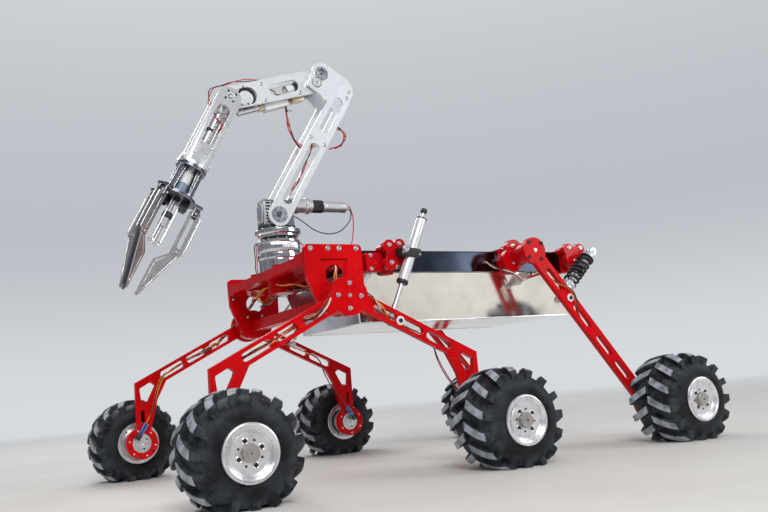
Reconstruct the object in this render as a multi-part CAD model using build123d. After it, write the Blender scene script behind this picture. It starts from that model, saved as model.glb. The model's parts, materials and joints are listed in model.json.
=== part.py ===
"""Six-wheel rover prototype with rocker legs, a polished hopper body and a folding arm.

Millimetres.  +X points forward, +Y to the left side, +Z up, and the floor is z = 0.
Lengths along X are named from the middle axle; SHIFT_X then centres the whole machine on the origin.
"""
from build123d import *
from math import atan2, degrees, hypot, radians, tan
import os

# Wheels and axles
AXLES = {"front": 638.0, "middle": 0.0, "rear": -570.0}
AXLE_Z = 102.0
TYRE_WIDTH = 146.0
TYRE_Y = 457.5
TYRE_SHOULDER = 26.0
RIM_R = 50.0
RIM_WALL = 4.0
RIM_LIP_R = 56.0
RIM_LIP_T = 4.0
RIM_FACE_RECESS = 6.0
RIM_FACE_T = 9.0
RIM_OVERHANG_OUT = 6.0
RIM_OVERHANG_IN = 2.0
HUB_CAP_R = 17.0
HUB_CAP_H = 6.0
BOSS_R = 14.0
SEAT_GAP = 0.3

# Hub motors
MOTOR_R = 34.0
MOTOR_FLANGE_R = 43.0
MOTOR_FLANGE_T = 7.0
MOTOR_REACH = 150.0
MOTOR_RECESS = 6.0
MOTOR_FIT = 0.5

# Rocker legs
PIVOT_X = 319.0
PIVOT_Z = 410.5
LEG_T = 15.0
HUB_R = 46.0
KNEE_OUT = 14.0
KNEE_Z = 266.0
BEAM_WIDTH = 37.0
SHANK_WIDTH = 38.0
RING_R = 43.0
BEAM_START = (40.0, 3.0)  # where the beam's upper edge leaves the hub, from the pivot
BEAM_ROOT_X = 20.0
ELBOW_REACH = 86.0
ELBOW_TAPER = (26.0, 50.0)
BEAM_SLOTS = ((0.213, 0.342), (0.442, 0.558), (0.640, 0.793))  # shares of the run from pivot to axle
SLOT_WIDTH = 20.0
KNEE_WINDOW = ((-11.0, -16.0), (-41.0, 0.0), (-55.0, -10.0),
               (-33.0, -52.0), (-15.0, -52.0))  # x, z from the knee
KNEE_WINDOW_CORNER = 4.0
SHANK_SLOT = (58.0, 84.0, 11.0)  # low and high end above the axle, width
SHANK_SLOT_LEAD = 4.0
HUB_SPACER_R = 42.0
HUB_SPACER_T = 55.0

# Rear legs
REAR_PIVOT_X = -232.0
REAR_PIVOT_Z = 518.0
REAR_HEAD_R = 35.0
REAR_HEAD_LEAD = 5.0
REAR_BEAM_WIDTH = 40.0
REAR_FOOT_LEAD = 23.0
REAR_FOOT_RISE = 18.0
REAR_SLOT_WIDTH = 17.0
REAR_SLOTS = ((62.0, 134.0), (187.0, 266.0), (296.0, 366.0), (386.0, 452.0))  # ends, from the head

# Chassis rails and hopper
RAIL_INSET = 39.0  # from the side plate in to the rail
RAIL_T = 25.0
RAIL_TOP = 534.0
RAIL_H = 52.0
RAIL_FRONT = 262.0
RAIL_BACK = -494.0
CROSS_T = 25.0
CLAMP_JAW = 8.0
CLAMP_INSET = 18.0
CLAMP_GAP = 2.0
CLAMP_BACK_T = 12.0
CLAMP_PLATE_T = 16.0
CLAMP_NECK = 0.6  # of each lobe's radius
PIVOT_CLAMP_REACH = 280.0
PIVOT_BOSS_R = 28.0
# Lobes of the castings on the rails: x, height over the rail's middle line, radius
PIVOT_LOBES = ((-222.0, 27.0, 26.0), (-215.0, -2.0, 32.0), (-236.0, 10.0, 30.0))
END_LOBES = ((-417.0, 28.0, 17.0), (-459.0, 28.0, 17.0), (-438.0, 4.0, 32.0))
MIDDLE_LOBES = ((166.0, 31.0, 16.0), (136.0, 34.0, 15.0), (163.0, -11.0, 19.0), (146.0, 8.0, 26.0))
HOPPER_FLOOR_Z = 362.0
HOPPER_TOP_INSET = 14.0  # inside the rail's outer face
HOPPER_SIDE_SLANT = 40.0
HOPPER_FLOOR_X = (-470.0, 207.0)
HOPPER_TOP_X = (-486.0, 236.0)
DECK_T = 4.0

# Side plates and front crossmember
PLATE_Y = 269.0
PLATE_T = 12.0
PLATE_TOP = 542.0
PLATE_TOP_X = (-76.0, 75.0)  # ends of the upper edge, from the pivot
PLATE_CORNER = 11.0
PLATE_NOSE = (72.0, 51.5)  # x, z from the pivot, as are the foot and the heel
PLATE_FOOT = (-34.0, 35.0, -38.5)  # rear x, front x, z
PLATE_HEEL_Z = 17.5
POCKET = ((38.0, 39.0), (-35.0, 39.0), (-25.0, -13.0),
          (-17.0, -23.0), (11.0, -23.0), (19.0, -13.0))  # x, z from the port
POCKET_CORNER = 5.0
POCKET_DEPTH = 6.0
PORT = (-2.0, 58.5, 25.0)  # x and z from the pivot, radius
ACCESSORY_HOLE_R = 2.2
ACCESSORY_HOLES_X = (-60.0, 59.0)  # from the pivot
ACCESSORY_HOLES_DOWN = 54.0  # below the plate's top
CROSSMEMBER_WIDTH = 130.0
CROSSMEMBER_DROP = 22.0  # its top lies this far under the side plates'
CROSSMEMBER_T = 23.0
CROSSMEMBER_END_RISE = 7.0
CROSSMEMBER_END_T = 37.0
CROSSMEMBER_RAMP = 54.0
CROSSMEMBER_POCKET = (89.0, 84.0, 14.0)  # inset of its ends from the side plates, width, depth
TURRET_DRUM_R = 34.0
TURRET_DRUM_H = 58.0
BOSS_RING_R = 17.0
BOSS_HEIGHT = 6.0
INNER_BOSS_Y = 80.0
OUTER_BOSS_INSET = 47.0  # from the side plate
PIVOT_BEAM_SIDE = 30.0
PIVOT_BEAM_DROP = 22.0

# Suspension struts
STRUT_INSET = 36.0  # from the legs in to the struts' axes
DAMPER_TOP = (76.0, 606.0)
DAMPER_BOTTOM = (192.0, 350.0)
DAMPER_TUBE_R = 10.5
DAMPER_CLAMP_Z = 527.0
DAMPER_CLAMP_H = 22.0
DAMPER_CLAMP_WALL = 6.0
DAMPER_CLAMP_ARM = 22.0  # ahead of the tube
DAMPER_EYE = (9.0, 8.0)  # radius, half length
DAMPER_ROD_R = 4.5
DAMPER_TUBE_SPAN = (14.0, 172.0)
SHOCK_STANDOFF = 24.0  # from the casting to the strut's axis
SHOCK_TOP = (-476.0, 524.0)
SHOCK_BOTTOM = (-334.0, 392.0)
SHOCK_SPRING_R = 21.0
SHOCK_ROD_R = 8.0
SHOCK_SPRING_SPAN = (26.0, 138.0)
SHOCK_EYE = (11.0, 9.0)  # radius, half length

# Arm
TURRET_X = 340.0
TURRET_R = 57.0
TURRET_TOP = 602.0
FLANGE_R = 60.0
FLANGE_T = 29.7
SHOULDER = (346.0, 668.0)
BEND = (143.0, 1006.0)
ELBOW = (192.0, 1078.0)
WRIST = (460.0, 986.0)
SHAFT_R = 8.0
ROD_R = 6.0
UPPER_PLATE_Y = 30.0
UPPER_PLATE_T = 7.0
UPPER_WIDTH = 61.0
BEND_CORNER = (1.0, 28.0, 44.0)  # centre from the bend, and radius
ELBOW_END_R = 30.0
ELBOW_HEAD = ((-66.0, -4.0), (-10.0, 28.0), (26.0, 14.0), (47.0, -38.0),
              (13.0, -61.0), (0.0, -78.0), (-42.0, -78.0))  # x, z from the elbow
UPPER_SLOTS = ((0.13, 0.56), (0.74, 0.97))  # shares of the run from shoulder to bend
UPPER_SLOT_WIDTH = 29.0
UPPER_RODS = (0.62, 0.68)
FORE_PLATE_Y = 18.0
FORE_PLATE_T = 7.0
FORE_ABOVE = (20.0, 27.0)  # at the elbow and at the wrist
FORE_BELOW = (47.0, 36.0)
FORE_BELOW_START = 34.0
FORE_ELBOW_R = 28.0
FORE_WRIST_R = 26.0
FORE_SLOT = (95.0, 152.0, -12.0, 32.0)  # near, far, height, width
FORE_HOLE = (233.0, 252.0, -10.0, 48.0)
FORE_RODS = ((42.0, -30.0), (190.0, -28.0))
DRIVE_BLOCK = (14.0, 70.0, -40.0, 8.0)  # near, far, low, high along and across the forearm
DRIVE_MOTOR = (112.0, -16.0, 14.0)  # end, height, radius
WRIST_GEAR = (236.0, -11.0, 27.0)
WRIST_PLATE_Y = 30.0
WRIST_PLATE_T = 6.0
WRIST_WIDTH = 66.0
WRIST_HEAD_LEAD = 13.0
WRIST_SLOT = (54.0, 138.0, 38.0)  # near and far centre along the tool, width
WRIST_ROD_AT = 176.0
WRIST_MOTOR = (46.0, 170.0, 12.5)
TOOL_ANGLE = 28.3
WRIST_LINK_LENGTH = 222.0
SHOULDER_BLOCK = (86.0, 48.0, 76.0)
SHOULDER_BLOCK_X = 343.0
SHOULDER_GEARHEAD_R = 22.0
ARM_MOTOR_R = 16.0
SHOULDER_MOTOR_Z = 702.0
SHOULDER_MOTOR_X = (132.0, 238.0)

# Gripper, measured along the tool axis from the wrist
GRIP_FLANGE_R = 40.0
GRIP_FLANGE_T = 8.0
GRIP_POST = (10.0, 8.0)
GRIP_POST_AT = (28.0, 18.0)
GRIP_MOTOR_R = 15.0
GRIP_PLATE_AT = 306.0
GRIP_PLATE_T = 8.0
GRIP_PLATE_R = 50.0
SCREW_R = 5.0
SCREW_END = 440.0
NUT_R = 13.0
NUT_SPAN = (356.0, 396.0)
FINGER_RING = 60.0
FINGER_PIVOT_AT = 330.0
FINGER_KNUCKLE_AT = 440.0
FINGER_T = 14.0
FINGER_WIDTH = 27.0
FINGER_SLOT = (0.06, 0.84, 12.0)  # shares of the link, width
FINGER_PALM = ((71.0, 438.0), (57.0, 482.0), (24.0, 576.0),
               (17.0, 576.0), (18.0, 478.0), (46.0, 448.0))  # distance out and along the tool axis
EAR_WIDTH = 34.0
EAR_REACH = 18.0
CHEEK_T = 5.5
CHEEK_GAP = 0.5
CHEEK_HALF = 8.0
FINGER_PHASES = (180.0, 45.0, 315.0)

# Wires along the machine
LEAD_R = 1.8
HARNESS_R = 3.0
SHOULDER_LEAD = (
    (299.7, 0.0, 672.0), (282.0, 0.0, 670.0), (260.0, 0.0, 655.0), (236.0, 0.0, 638.0), (208.0, 0.0, 628.0),
    (180.0, 0.0, 627.0), (154.0, 0.0, 635.0), (134.0, 0.0, 651.0), (121.0, 0.0, 668.0), (116.0, 0.0, 685.0),
    (120.0, 0.0, 697.0), (131.6, 0.0, 699.0))
HUB_HARNESS = (
    (330.0, 224.0, 488.7), (330.0, 226.0, 474.0), (330.0, 242.0, 463.0), (331.0, 264.0, 460.0),
    (334.0, 290.0, 461.0), (341.0, 316.0, 464.0), (352.0, 340.0, 462.0), (363.0, 357.0, 449.0),
    (372.0, 363.0, 430.0), (382.0, 364.0, 411.0), (391.0, 363.0, 396.0), (400.0, 362.0, 384.0),
    (406.0, 358.0, 375.0), (407.5, 349.0, 371.0), (406.4, 343.0, 368.6), (402.1, 342.5, 360.3))
MIDDLE_HARNESS = (
    (262.0, 281.2, 441.0), (262.0, 296.0, 441.5), (259.0, 316.0, 438.0), (254.0, 336.0, 429.0),
    (249.0, 352.0, 415.0), (244.0, 359.0, 398.0), (238.0, 358.0, 386.0), (233.0, 356.0, 377.5),
    (230.8, 349.0, 372.0), (231.5, 343.0, 369.2), (235.9, 342.5, 360.3))
REAR_HARNESS = (
    (-150.0, 230.2, 505.0), (-150.0, 246.0, 505.5), (-147.0, 266.0, 501.0), (-146.0, 286.0, 489.0),
    (-154.0, 301.0, 474.0), (-171.0, 310.0, 462.0), (-195.0, 313.0, 455.0), (-219.0, 311.0, 456.0),
    (-238.0, 306.0, 464.0), (-249.0, 303.0, 472.0), (-254.0, 312.0, 478.0), (-255.0, 335.6, 479.0))

# The whole machine is centred on the origin
SHIFT_X = -40.19

os.makedirs("parts", exist_ok=True)


def slab(outline, y_low, y_high):
    """Extrude a flat outline, drawn as (x, z), between two values of y."""
    return Pos(0, y_high, 0) * extrude(Plane.XZ * outline, amount=y_high - y_low, dir=(0, -1, 0))


def polygon(*points):
    """Face inside straight sides, with its normal up whichever way its corners run."""
    turns = sum(a[0] * b[1] - b[0] * a[1] for a, b in zip(points, points[1:] + points[:1]))
    return Polygon(*(points if turns > 0 else points[::-1]), align=None)


def drum(radius, y_low, y_high, x, z):
    """Cylinder along Y."""
    return Pos(x, (y_low + y_high) / 2, z) * Rot(90, 0, 0) * Cylinder(radius, y_high - y_low)


def strip(start, end, width):
    """Flat strip with round ends between two (x, z) points."""
    run = hypot(end[0] - start[0], end[1] - start[1])
    turn = degrees(atan2(end[1] - start[1], end[0] - start[0]))
    middle = ((start[0] + end[0]) / 2, (start[1] + end[1]) / 2)
    return Pos(*middle) * Rot(0, 0, turn) * SlotCenterToCenter(run, width)


def rod(start, end, radius):
    """Round bar between two points in space."""
    a, b = Vector(*start), Vector(*end)
    return Plane(origin=(a + b) / 2, z_dir=b - a) * Cylinder(radius, (b - a).length)


def box(x_span, y_span, z_span):
    """Box between low and high values on each axis."""
    size = [high - low for low, high in (x_span, y_span, z_span)]
    centre = [(high + low) / 2 for low, high in (x_span, y_span, z_span)]
    return Pos(*centre) * Box(*size)


def between(start, end, share):
    """Point part of the way along a line."""
    return tuple(s + (e - s) * share for s, e in zip(start, end))


def mirrored(piece):
    """The same piece on the right side."""
    return mirror(piece, about=Plane.XZ)


def save(name, piece):
    """Write one node, centred on the machine's origin."""
    export_step(Pos(SHIFT_X, 0, 0) * piece, f"parts/{name}.step")


def save_pair(name, left_piece):
    save(f"{name}_left", left_piece)
    save(f"{name}_right", mirrored(left_piece))


def save_both(name, left_piece):
    """Left and right pieces that share one node."""
    save(name, Compound([left_piece, mirrored(left_piece)]))


CROSSMEMBER_TOP = PLATE_TOP - CROSSMEMBER_DROP
LEG_Y = PLATE_Y + PLATE_T + HUB_SPACER_T
LEG_OUT = LEG_Y + LEG_T
STRUT_Y = LEG_Y - STRUT_INSET
END_CLAMP_REACH = STRUT_Y - SHOCK_STANDOFF
RAIL_Y = PLATE_Y - RAIL_INSET
HOPPER_TOP_HALF = RAIL_Y - HOPPER_TOP_INSET
HOPPER_FLOOR_HALF = HOPPER_TOP_HALF - HOPPER_SIDE_SLANT
TYRE_IN = TYRE_Y - TYRE_WIDTH / 2
TYRE_OUT = TYRE_Y + TYRE_WIDTH / 2
RIM_IN = TYRE_IN - RIM_OVERHANG_IN
RIM_OUT = TYRE_OUT + RIM_OVERHANG_OUT
MOTOR_END = LEG_OUT + MOTOR_REACH


def tyre(x):
    body = drum(AXLE_Z, TYRE_IN, TYRE_OUT, x, AXLE_Z)
    body = fillet(body.edges().filter_by(GeomType.CIRCLE), TYRE_SHOULDER)
    return body - drum(RIM_R, TYRE_IN - 1, TYRE_OUT + 1, x, AXLE_Z)


def rim(x):
    """Barrel with a lip at each end, a closed outer face and an axle boss."""
    face_out = RIM_OUT - RIM_FACE_RECESS
    face_in = face_out - RIM_FACE_T
    body = drum(RIM_R, RIM_IN, RIM_OUT, x, AXLE_Z)
    body += drum(RIM_LIP_R, TYRE_IN - RIM_LIP_T, TYRE_IN, x, AXLE_Z)
    body += drum(RIM_LIP_R, TYRE_OUT, TYRE_OUT + RIM_LIP_T, x, AXLE_Z)
    bore_r = RIM_R - RIM_WALL
    body -= drum(bore_r, TYRE_IN - RIM_LIP_T - 1, face_in, x, AXLE_Z)
    body -= drum(bore_r, face_out, RIM_OUT + 1, x, AXLE_Z)
    body += drum(BOSS_R, MOTOR_END + SEAT_GAP, face_in, x, AXLE_Z)
    body += drum(HUB_CAP_R, face_out, face_out + HUB_CAP_H, x, AXLE_Z)
    return body


def hub_motor(x):
    """Motor with the flange that bolts against the outer face of the leg's ring."""
    body = drum(MOTOR_R, LEG_Y + MOTOR_RECESS, MOTOR_END, x, AXLE_Z)
    body += drum(MOTOR_FLANGE_R, LEG_OUT, LEG_OUT + MOTOR_FLANGE_T, x, AXLE_Z)
    return body


def rocker_leg(reach):
    """Slotted beam from the hub ahead to the knee, with a window, and a shank down to the ring."""
    axle_x = PIVOT_X + reach
    knee_x = axle_x + KNEE_OUT
    beam_top = (PIVOT_X + BEAM_START[0], PIVOT_Z + BEAM_START[1])
    slope = (beam_top[1] - KNEE_Z) / (knee_x - beam_top[0])
    drop = BEAM_WIDTH * hypot(1, slope)

    def edge_z(x, depth):
        """Height of the beam at x, a share of its depth below the upper edge."""
        return KNEE_Z + (knee_x - x) * slope - drop * depth

    root_x, inner_x = PIVOT_X + BEAM_ROOT_X, knee_x - ELBOW_REACH
    beam = polygon(
        beam_top, (knee_x, KNEE_Z),
        (knee_x, AXLE_Z + RING_R / 4), (knee_x - SHANK_WIDTH, AXLE_Z + RING_R * 0.7),
        (inner_x + ELBOW_TAPER[0], edge_z(inner_x, 1) - ELBOW_TAPER[1]), (inner_x, edge_z(inner_x, 1)),
        (root_x, edge_z(root_x, 1)), (PIVOT_X, PIVOT_Z - HUB_R * 0.9), (PIVOT_X, PIVOT_Z + HUB_R * 0.8))
    front_half = Pos(PIVOT_X + HUB_R, PIVOT_Z) * Rectangle(2 * HUB_R, 2 * HUB_R)
    outline = beam + (Pos(PIVOT_X, PIVOT_Z) * Circle(HUB_R) & front_half)
    outline += Pos(axle_x, AXLE_Z) * Circle(RING_R)
    for shares in BEAM_SLOTS:
        near, far = [PIVOT_X + share * reach for share in shares]
        outline -= strip((near, edge_z(near, 0.5)), (far, edge_z(far, 0.5)), SLOT_WIDTH)
    window = polygon(*[(knee_x + x, KNEE_Z + z) for x, z in KNEE_WINDOW])
    outline -= fillet(window.vertices(), KNEE_WINDOW_CORNER)
    low, high, width = SHANK_SLOT
    slot_x = axle_x - SHANK_SLOT_LEAD
    outline -= strip((slot_x, AXLE_Z + low), (slot_x, AXLE_Z + high), width)
    outline -= Pos(axle_x, AXLE_Z) * Circle(MOTOR_R + MOTOR_FIT)
    return slab(outline, LEG_Y, LEG_OUT)


def rear_leg():
    """Straight slotted beam from the rear pivot down to the ring."""
    axle = (AXLES["rear"], AXLE_Z)
    head = (REAR_PIVOT_X + REAR_HEAD_LEAD, REAR_PIVOT_Z)
    foot = (axle[0] + REAR_FOOT_LEAD, AXLE_Z + REAR_FOOT_RISE)
    length = hypot(foot[0] - head[0], foot[1] - head[1])
    outline = strip(head, foot, REAR_BEAM_WIDTH)
    outline += Pos(REAR_PIVOT_X, REAR_PIVOT_Z) * Circle(REAR_HEAD_R)
    outline += Pos(*axle) * Circle(RING_R)
    for near, far in REAR_SLOTS:
        start = between(head, foot, (near + REAR_SLOT_WIDTH / 2) / length)
        end = between(head, foot, (far - REAR_SLOT_WIDTH / 2) / length)
        outline -= strip(start, end, REAR_SLOT_WIDTH)
    outline -= Pos(*axle) * Circle(MOTOR_R + MOTOR_FIT)
    return slab(outline, LEG_Y, LEG_OUT)


def side_plate():
    """Shield plate with an outer pocket, a round port, and two accessory holes."""
    rear, front = PLATE_TOP_X
    foot_rear, foot_front, foot_z = PLATE_FOOT
    top = PLATE_TOP - PIVOT_Z
    outline = polygon(
        (rear, top), (front, top), PLATE_NOSE,
        (foot_front, foot_z), (foot_rear, foot_z), (rear, PLATE_HEEL_Z))
    outer = PLATE_Y + PLATE_T
    plate = slab(fillet(outline.vertices(), PLATE_CORNER), PLATE_Y, outer)
    port_x, port_z, port_r = PORT
    pocket = polygon(*[(port_x + x, port_z + z) for x, z in POCKET])
    plate -= slab(fillet(pocket.vertices(), POCKET_CORNER), outer - POCKET_DEPTH, outer + 1)
    plate -= drum(port_r, PLATE_Y - 1, outer + 1, port_x, port_z)
    for x in ACCESSORY_HOLES_X:
        plate -= drum(ACCESSORY_HOLE_R, PLATE_Y - 1, outer + 1, x, top - ACCESSORY_HOLES_DOWN)
    return Pos(PIVOT_X, 0, PIVOT_Z) * plate


def crossmember():
    """Cast bridge between the side plates: raised ends, a hollow underside, a drum and front bosses."""
    low_x, high_x = RAIL_FRONT, RAIL_FRONT + CROSSMEMBER_WIDTH
    ends, ramp = PLATE_Y, PLATE_Y - CROSSMEMBER_RAMP
    top, base = CROSSMEMBER_TOP, CROSSMEMBER_TOP - CROSSMEMBER_T
    end_top = top + CROSSMEMBER_END_RISE
    end_base = end_top - CROSSMEMBER_END_T
    profile = polygon(
        (-ends, end_top), (-ramp, top), (ramp, top), (ends, end_top),
        (ends, end_base), (ramp, base), (-ramp, base), (-ends, end_base))
    beam = Pos(low_x, 0, 0) * extrude(Plane.YZ * profile, amount=high_x - low_x, dir=(1, 0, 0))
    inset, width, depth = CROSSMEMBER_POCKET
    beam -= Pos((low_x + high_x) / 2, 0, base + depth / 2) * Box(width, 2 * (PLATE_Y - inset), depth)
    beam += Pos(TURRET_X, 0, top - TURRET_DRUM_H / 2) * Cylinder(TURRET_DRUM_R, TURRET_DRUM_H)
    outer_boss_y = PLATE_Y - OUTER_BOSS_INSET
    for y in (-outer_boss_y, -INNER_BOSS_Y, INNER_BOSS_Y, outer_boss_y):
        height = BOSS_HEIGHT + top - base
        beam += Pos(high_x - BOSS_RING_R, y, base + height / 2) * Cylinder(BOSS_RING_R, height)
    return beam


def hopper():
    """Decked hopper that narrows downwards, with a flat floor."""
    low, high = HOPPER_FLOOR_X, HOPPER_TOP_X
    floor = Pos((low[0] + low[1]) / 2, 0) * Rectangle(low[1] - low[0], 2 * HOPPER_FLOOR_HALF)
    top = Pos((high[0] + high[1]) / 2, 0) * Rectangle(high[1] - high[0], 2 * HOPPER_TOP_HALF)
    return loft([Pos(0, 0, HOPPER_FLOOR_Z) * floor, Pos(0, 0, RAIL_TOP - RAIL_H) * top])


def rails():
    """Two box rails joined by a crossbar at each end."""
    z_span = (RAIL_TOP - RAIL_H, RAIL_TOP)
    frame = box((RAIL_BACK, RAIL_FRONT), (RAIL_Y - RAIL_T, RAIL_Y), z_span)
    frame += box((RAIL_BACK, RAIL_FRONT), (-RAIL_Y, RAIL_T - RAIL_Y), z_span)
    for x in (RAIL_BACK, RAIL_FRONT - CROSS_T):
        frame += box((x, x + CROSS_T), (RAIL_T - RAIL_Y, RAIL_Y - RAIL_T), z_span)
    return frame


def clamp(lobes, reach):
    """Plate of round lobes out at y = reach, on round necks from a jaw round the rail."""
    middle = RAIL_TOP - RAIL_H / 2
    outline = Sketch() + [Pos(x, middle + height) * Circle(radius) for x, height, radius in lobes]
    necks = Sketch() + [Pos(x, middle + height) * Circle(radius * CLAMP_NECK) for x, height, radius in lobes]
    low, high = outline.bounding_box().min.X, outline.bounding_box().max.X
    z_low, z_high = RAIL_TOP - RAIL_H, RAIL_TOP
    back = (low + CLAMP_INSET, high - CLAMP_INSET)
    body = slab(outline, reach - CLAMP_PLATE_T, reach) + slab(necks, RAIL_Y, reach)
    body += box(back, (RAIL_Y, RAIL_Y + CLAMP_BACK_T), (z_low - CLAMP_JAW, z_high + CLAMP_JAW))
    body += box(back, (RAIL_Y - RAIL_T, RAIL_Y), (z_high, z_high + CLAMP_JAW))
    body += box(back, (HOPPER_TOP_HALF + CLAMP_GAP, RAIL_Y), (z_low - CLAMP_JAW, z_low))
    return body


def damper():
    """Tube, rod and top cap of the strut that links rail and middle leg."""
    start = (DAMPER_TOP[0], STRUT_Y, DAMPER_TOP[1])
    end = (DAMPER_BOTTOM[0], STRUT_Y, DAMPER_BOTTOM[1])
    length = (Vector(*end) - Vector(*start)).length
    low, high = (between(start, end, span / length) for span in DAMPER_TUBE_SPAN)
    body = rod(low, high, DAMPER_TUBE_R)
    body += rod(start, low, DAMPER_ROD_R)
    body += rod(high, end, DAMPER_ROD_R)
    eye_r, eye_half = DAMPER_EYE
    body += drum(eye_r, STRUT_Y - eye_half, LEG_Y, *DAMPER_BOTTOM)
    return body


def damper_clamp():
    """Split block that holds the damper tube against the middle clamp."""
    share = (DAMPER_TOP[1] - DAMPER_CLAMP_Z) / (DAMPER_TOP[1] - DAMPER_BOTTOM[1])
    x, z = between(DAMPER_TOP, DAMPER_BOTTOM, share)
    half, tall = DAMPER_TUBE_R + DAMPER_CLAMP_WALL, DAMPER_CLAMP_H / 2
    body = box((x - half, x + half + DAMPER_CLAMP_ARM), (STRUT_Y - half, STRUT_Y + half), (z - tall, z + tall))
    along = Vector(DAMPER_BOTTOM[0] - DAMPER_TOP[0], 0, DAMPER_BOTTOM[1] - DAMPER_TOP[1])
    seat = Cylinder(DAMPER_TUBE_R + SEAT_GAP, 4 * DAMPER_CLAMP_H)
    return body - Plane(origin=(x, STRUT_Y, z), z_dir=along) * seat


def shock():
    """Coil-over strut between the rear rail end and the rear leg."""
    start = (SHOCK_TOP[0], STRUT_Y, SHOCK_TOP[1])
    end = (SHOCK_BOTTOM[0], STRUT_Y, SHOCK_BOTTOM[1])
    length = (Vector(*end) - Vector(*start)).length
    low, high = (between(start, end, span / length) for span in SHOCK_SPRING_SPAN)
    body = rod(start, end, SHOCK_ROD_R)
    body += rod(low, high, SHOCK_SPRING_R)
    eye_r, eye_half = SHOCK_EYE
    body += drum(eye_r, STRUT_Y - eye_half, LEG_Y, *SHOCK_BOTTOM)
    body += drum(eye_r, END_CLAMP_REACH, STRUT_Y + eye_half, *SHOCK_TOP)
    return body


def plate_pair(outline, y_low, thickness):
    """The same outline as two plates, left and right of the arm's mid-plane."""
    left = slab(outline, y_low, y_low + thickness)
    return left + mirrored(left)


def upper_arm():
    """Two bent plates with slots, joined by rods and by the elbow's shaft."""
    outline = strip(SHOULDER, BEND, UPPER_WIDTH)
    corner_x, corner_z, corner_r = BEND_CORNER
    outline += Pos(BEND[0] + corner_x, BEND[1] + corner_z) * Circle(corner_r)
    outline += polygon(*[(ELBOW[0] + x, ELBOW[1] + z) for x, z in ELBOW_HEAD])
    outline += Pos(*ELBOW) * Circle(ELBOW_END_R)
    for start, end in UPPER_SLOTS:
        outline -= strip(between(SHOULDER, BEND, start), between(SHOULDER, BEND, end), UPPER_SLOT_WIDTH)
    outline -= Pos(*SHOULDER) * Circle(SHAFT_R + SEAT_GAP)
    body = plate_pair(outline, UPPER_PLATE_Y, UPPER_PLATE_T)
    body += drum(SHAFT_R, -UPPER_PLATE_Y, UPPER_PLATE_Y, *ELBOW)
    for share in UPPER_RODS:
        body += drum(ROD_R, -UPPER_PLATE_Y, UPPER_PLATE_Y, *between(SHOULDER, BEND, share))
    return body


FORE_RUN = hypot(WRIST[0] - ELBOW[0], WRIST[1] - ELBOW[1])


def on_forearm(along, above):
    """Point (x, z) at a distance along the forearm's line and above it."""
    ux, uz = (WRIST[0] - ELBOW[0]) / FORE_RUN, (WRIST[1] - ELBOW[1]) / FORE_RUN
    return ELBOW[0] + ux * along - uz * above, ELBOW[1] + uz * along + ux * above


def forearm():
    """Two plates from the elbow to the wrist, joined by rods, with the wrist's pin through them."""
    outline = polygon(
        on_forearm(0, FORE_ABOVE[0]), on_forearm(FORE_RUN, FORE_ABOVE[1]),
        on_forearm(FORE_RUN, -FORE_BELOW[1]),
        on_forearm(FORE_BELOW_START, -FORE_BELOW[0]), on_forearm(0, -FORE_ABOVE[0]))
    outline += Pos(*ELBOW) * Circle(FORE_ELBOW_R)
    outline += Pos(*WRIST) * Circle(FORE_WRIST_R)
    for near, far, height, width in (FORE_SLOT, FORE_HOLE):
        outline -= strip(on_forearm(near, height), on_forearm(far, height), width)
    outline -= Pos(*ELBOW) * Circle(SHAFT_R + SEAT_GAP)
    body = plate_pair(outline, FORE_PLATE_Y, FORE_PLATE_T)
    wrist_pin = WRIST_PLATE_Y + WRIST_PLATE_T
    body += drum(SHAFT_R, -wrist_pin, wrist_pin, *WRIST)
    for along, above in FORE_RODS:
        body += drum(ROD_R, -FORE_PLATE_Y, FORE_PLATE_Y, *on_forearm(along, above))
    return body


def forearm_drive():
    """The elbow's gear block and motor and the wrist's gear, between the forearm's plates."""
    near, far, low, high = DRIVE_BLOCK
    corners = ((near, low), (far, low), (far, high), (near, high))
    block = polygon(*[on_forearm(*corner) for corner in corners])
    for along, above in FORE_RODS:
        block -= Pos(*on_forearm(along, above)) * Circle(ROD_R)
    end, height, radius = DRIVE_MOTOR
    x_low, z_low = on_forearm(far, height)
    x_high, z_high = on_forearm(end, height)
    body = slab(block, -FORE_PLATE_Y, FORE_PLATE_Y) + rod((x_low, 0, z_low), (x_high, 0, z_high), radius)
    along, above, radius = WRIST_GEAR
    return Compound([body, drum(radius, -FORE_PLATE_Y, FORE_PLATE_Y, *on_forearm(along, above))])


def tool(piece):
    """Place a piece drawn along -Z from the wrist onto the slanted tool axis."""
    return Pos(WRIST[0], 0, WRIST[1]) * Rot(0, -TOOL_ANGLE, 0) * piece


def wrist_link():
    """Two slotted plates from the wrist's pin down to the gripper's flange."""
    half = WRIST_WIDTH / 2
    foot = -WRIST_LINK_LENGTH + half
    outline = strip((0, -WRIST_HEAD_LEAD), (0, foot), WRIST_WIDTH)
    outline += Pos(0, foot) * Rectangle(WRIST_WIDTH, WRIST_WIDTH)
    near, far, width = WRIST_SLOT
    outline -= strip((0, -near), (0, -far), width)
    outline -= Circle(SHAFT_R + SEAT_GAP)
    body = plate_pair(outline, WRIST_PLATE_Y, WRIST_PLATE_T)
    body += Pos(0, 0, -WRIST_LINK_LENGTH + GRIP_FLANGE_T / 2) * Cylinder(GRIP_FLANGE_R, GRIP_FLANGE_T)
    body += drum(ROD_R, -WRIST_PLATE_Y, WRIST_PLATE_Y, 0, -WRIST_ROD_AT)
    return tool(body)


def wrist_motor():
    """Motor between the wrist plates, down to the rod that carries it."""
    near, far, radius = WRIST_MOTOR
    return tool(rod((0, 0, -near), (0, 0, -far), radius))


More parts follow.
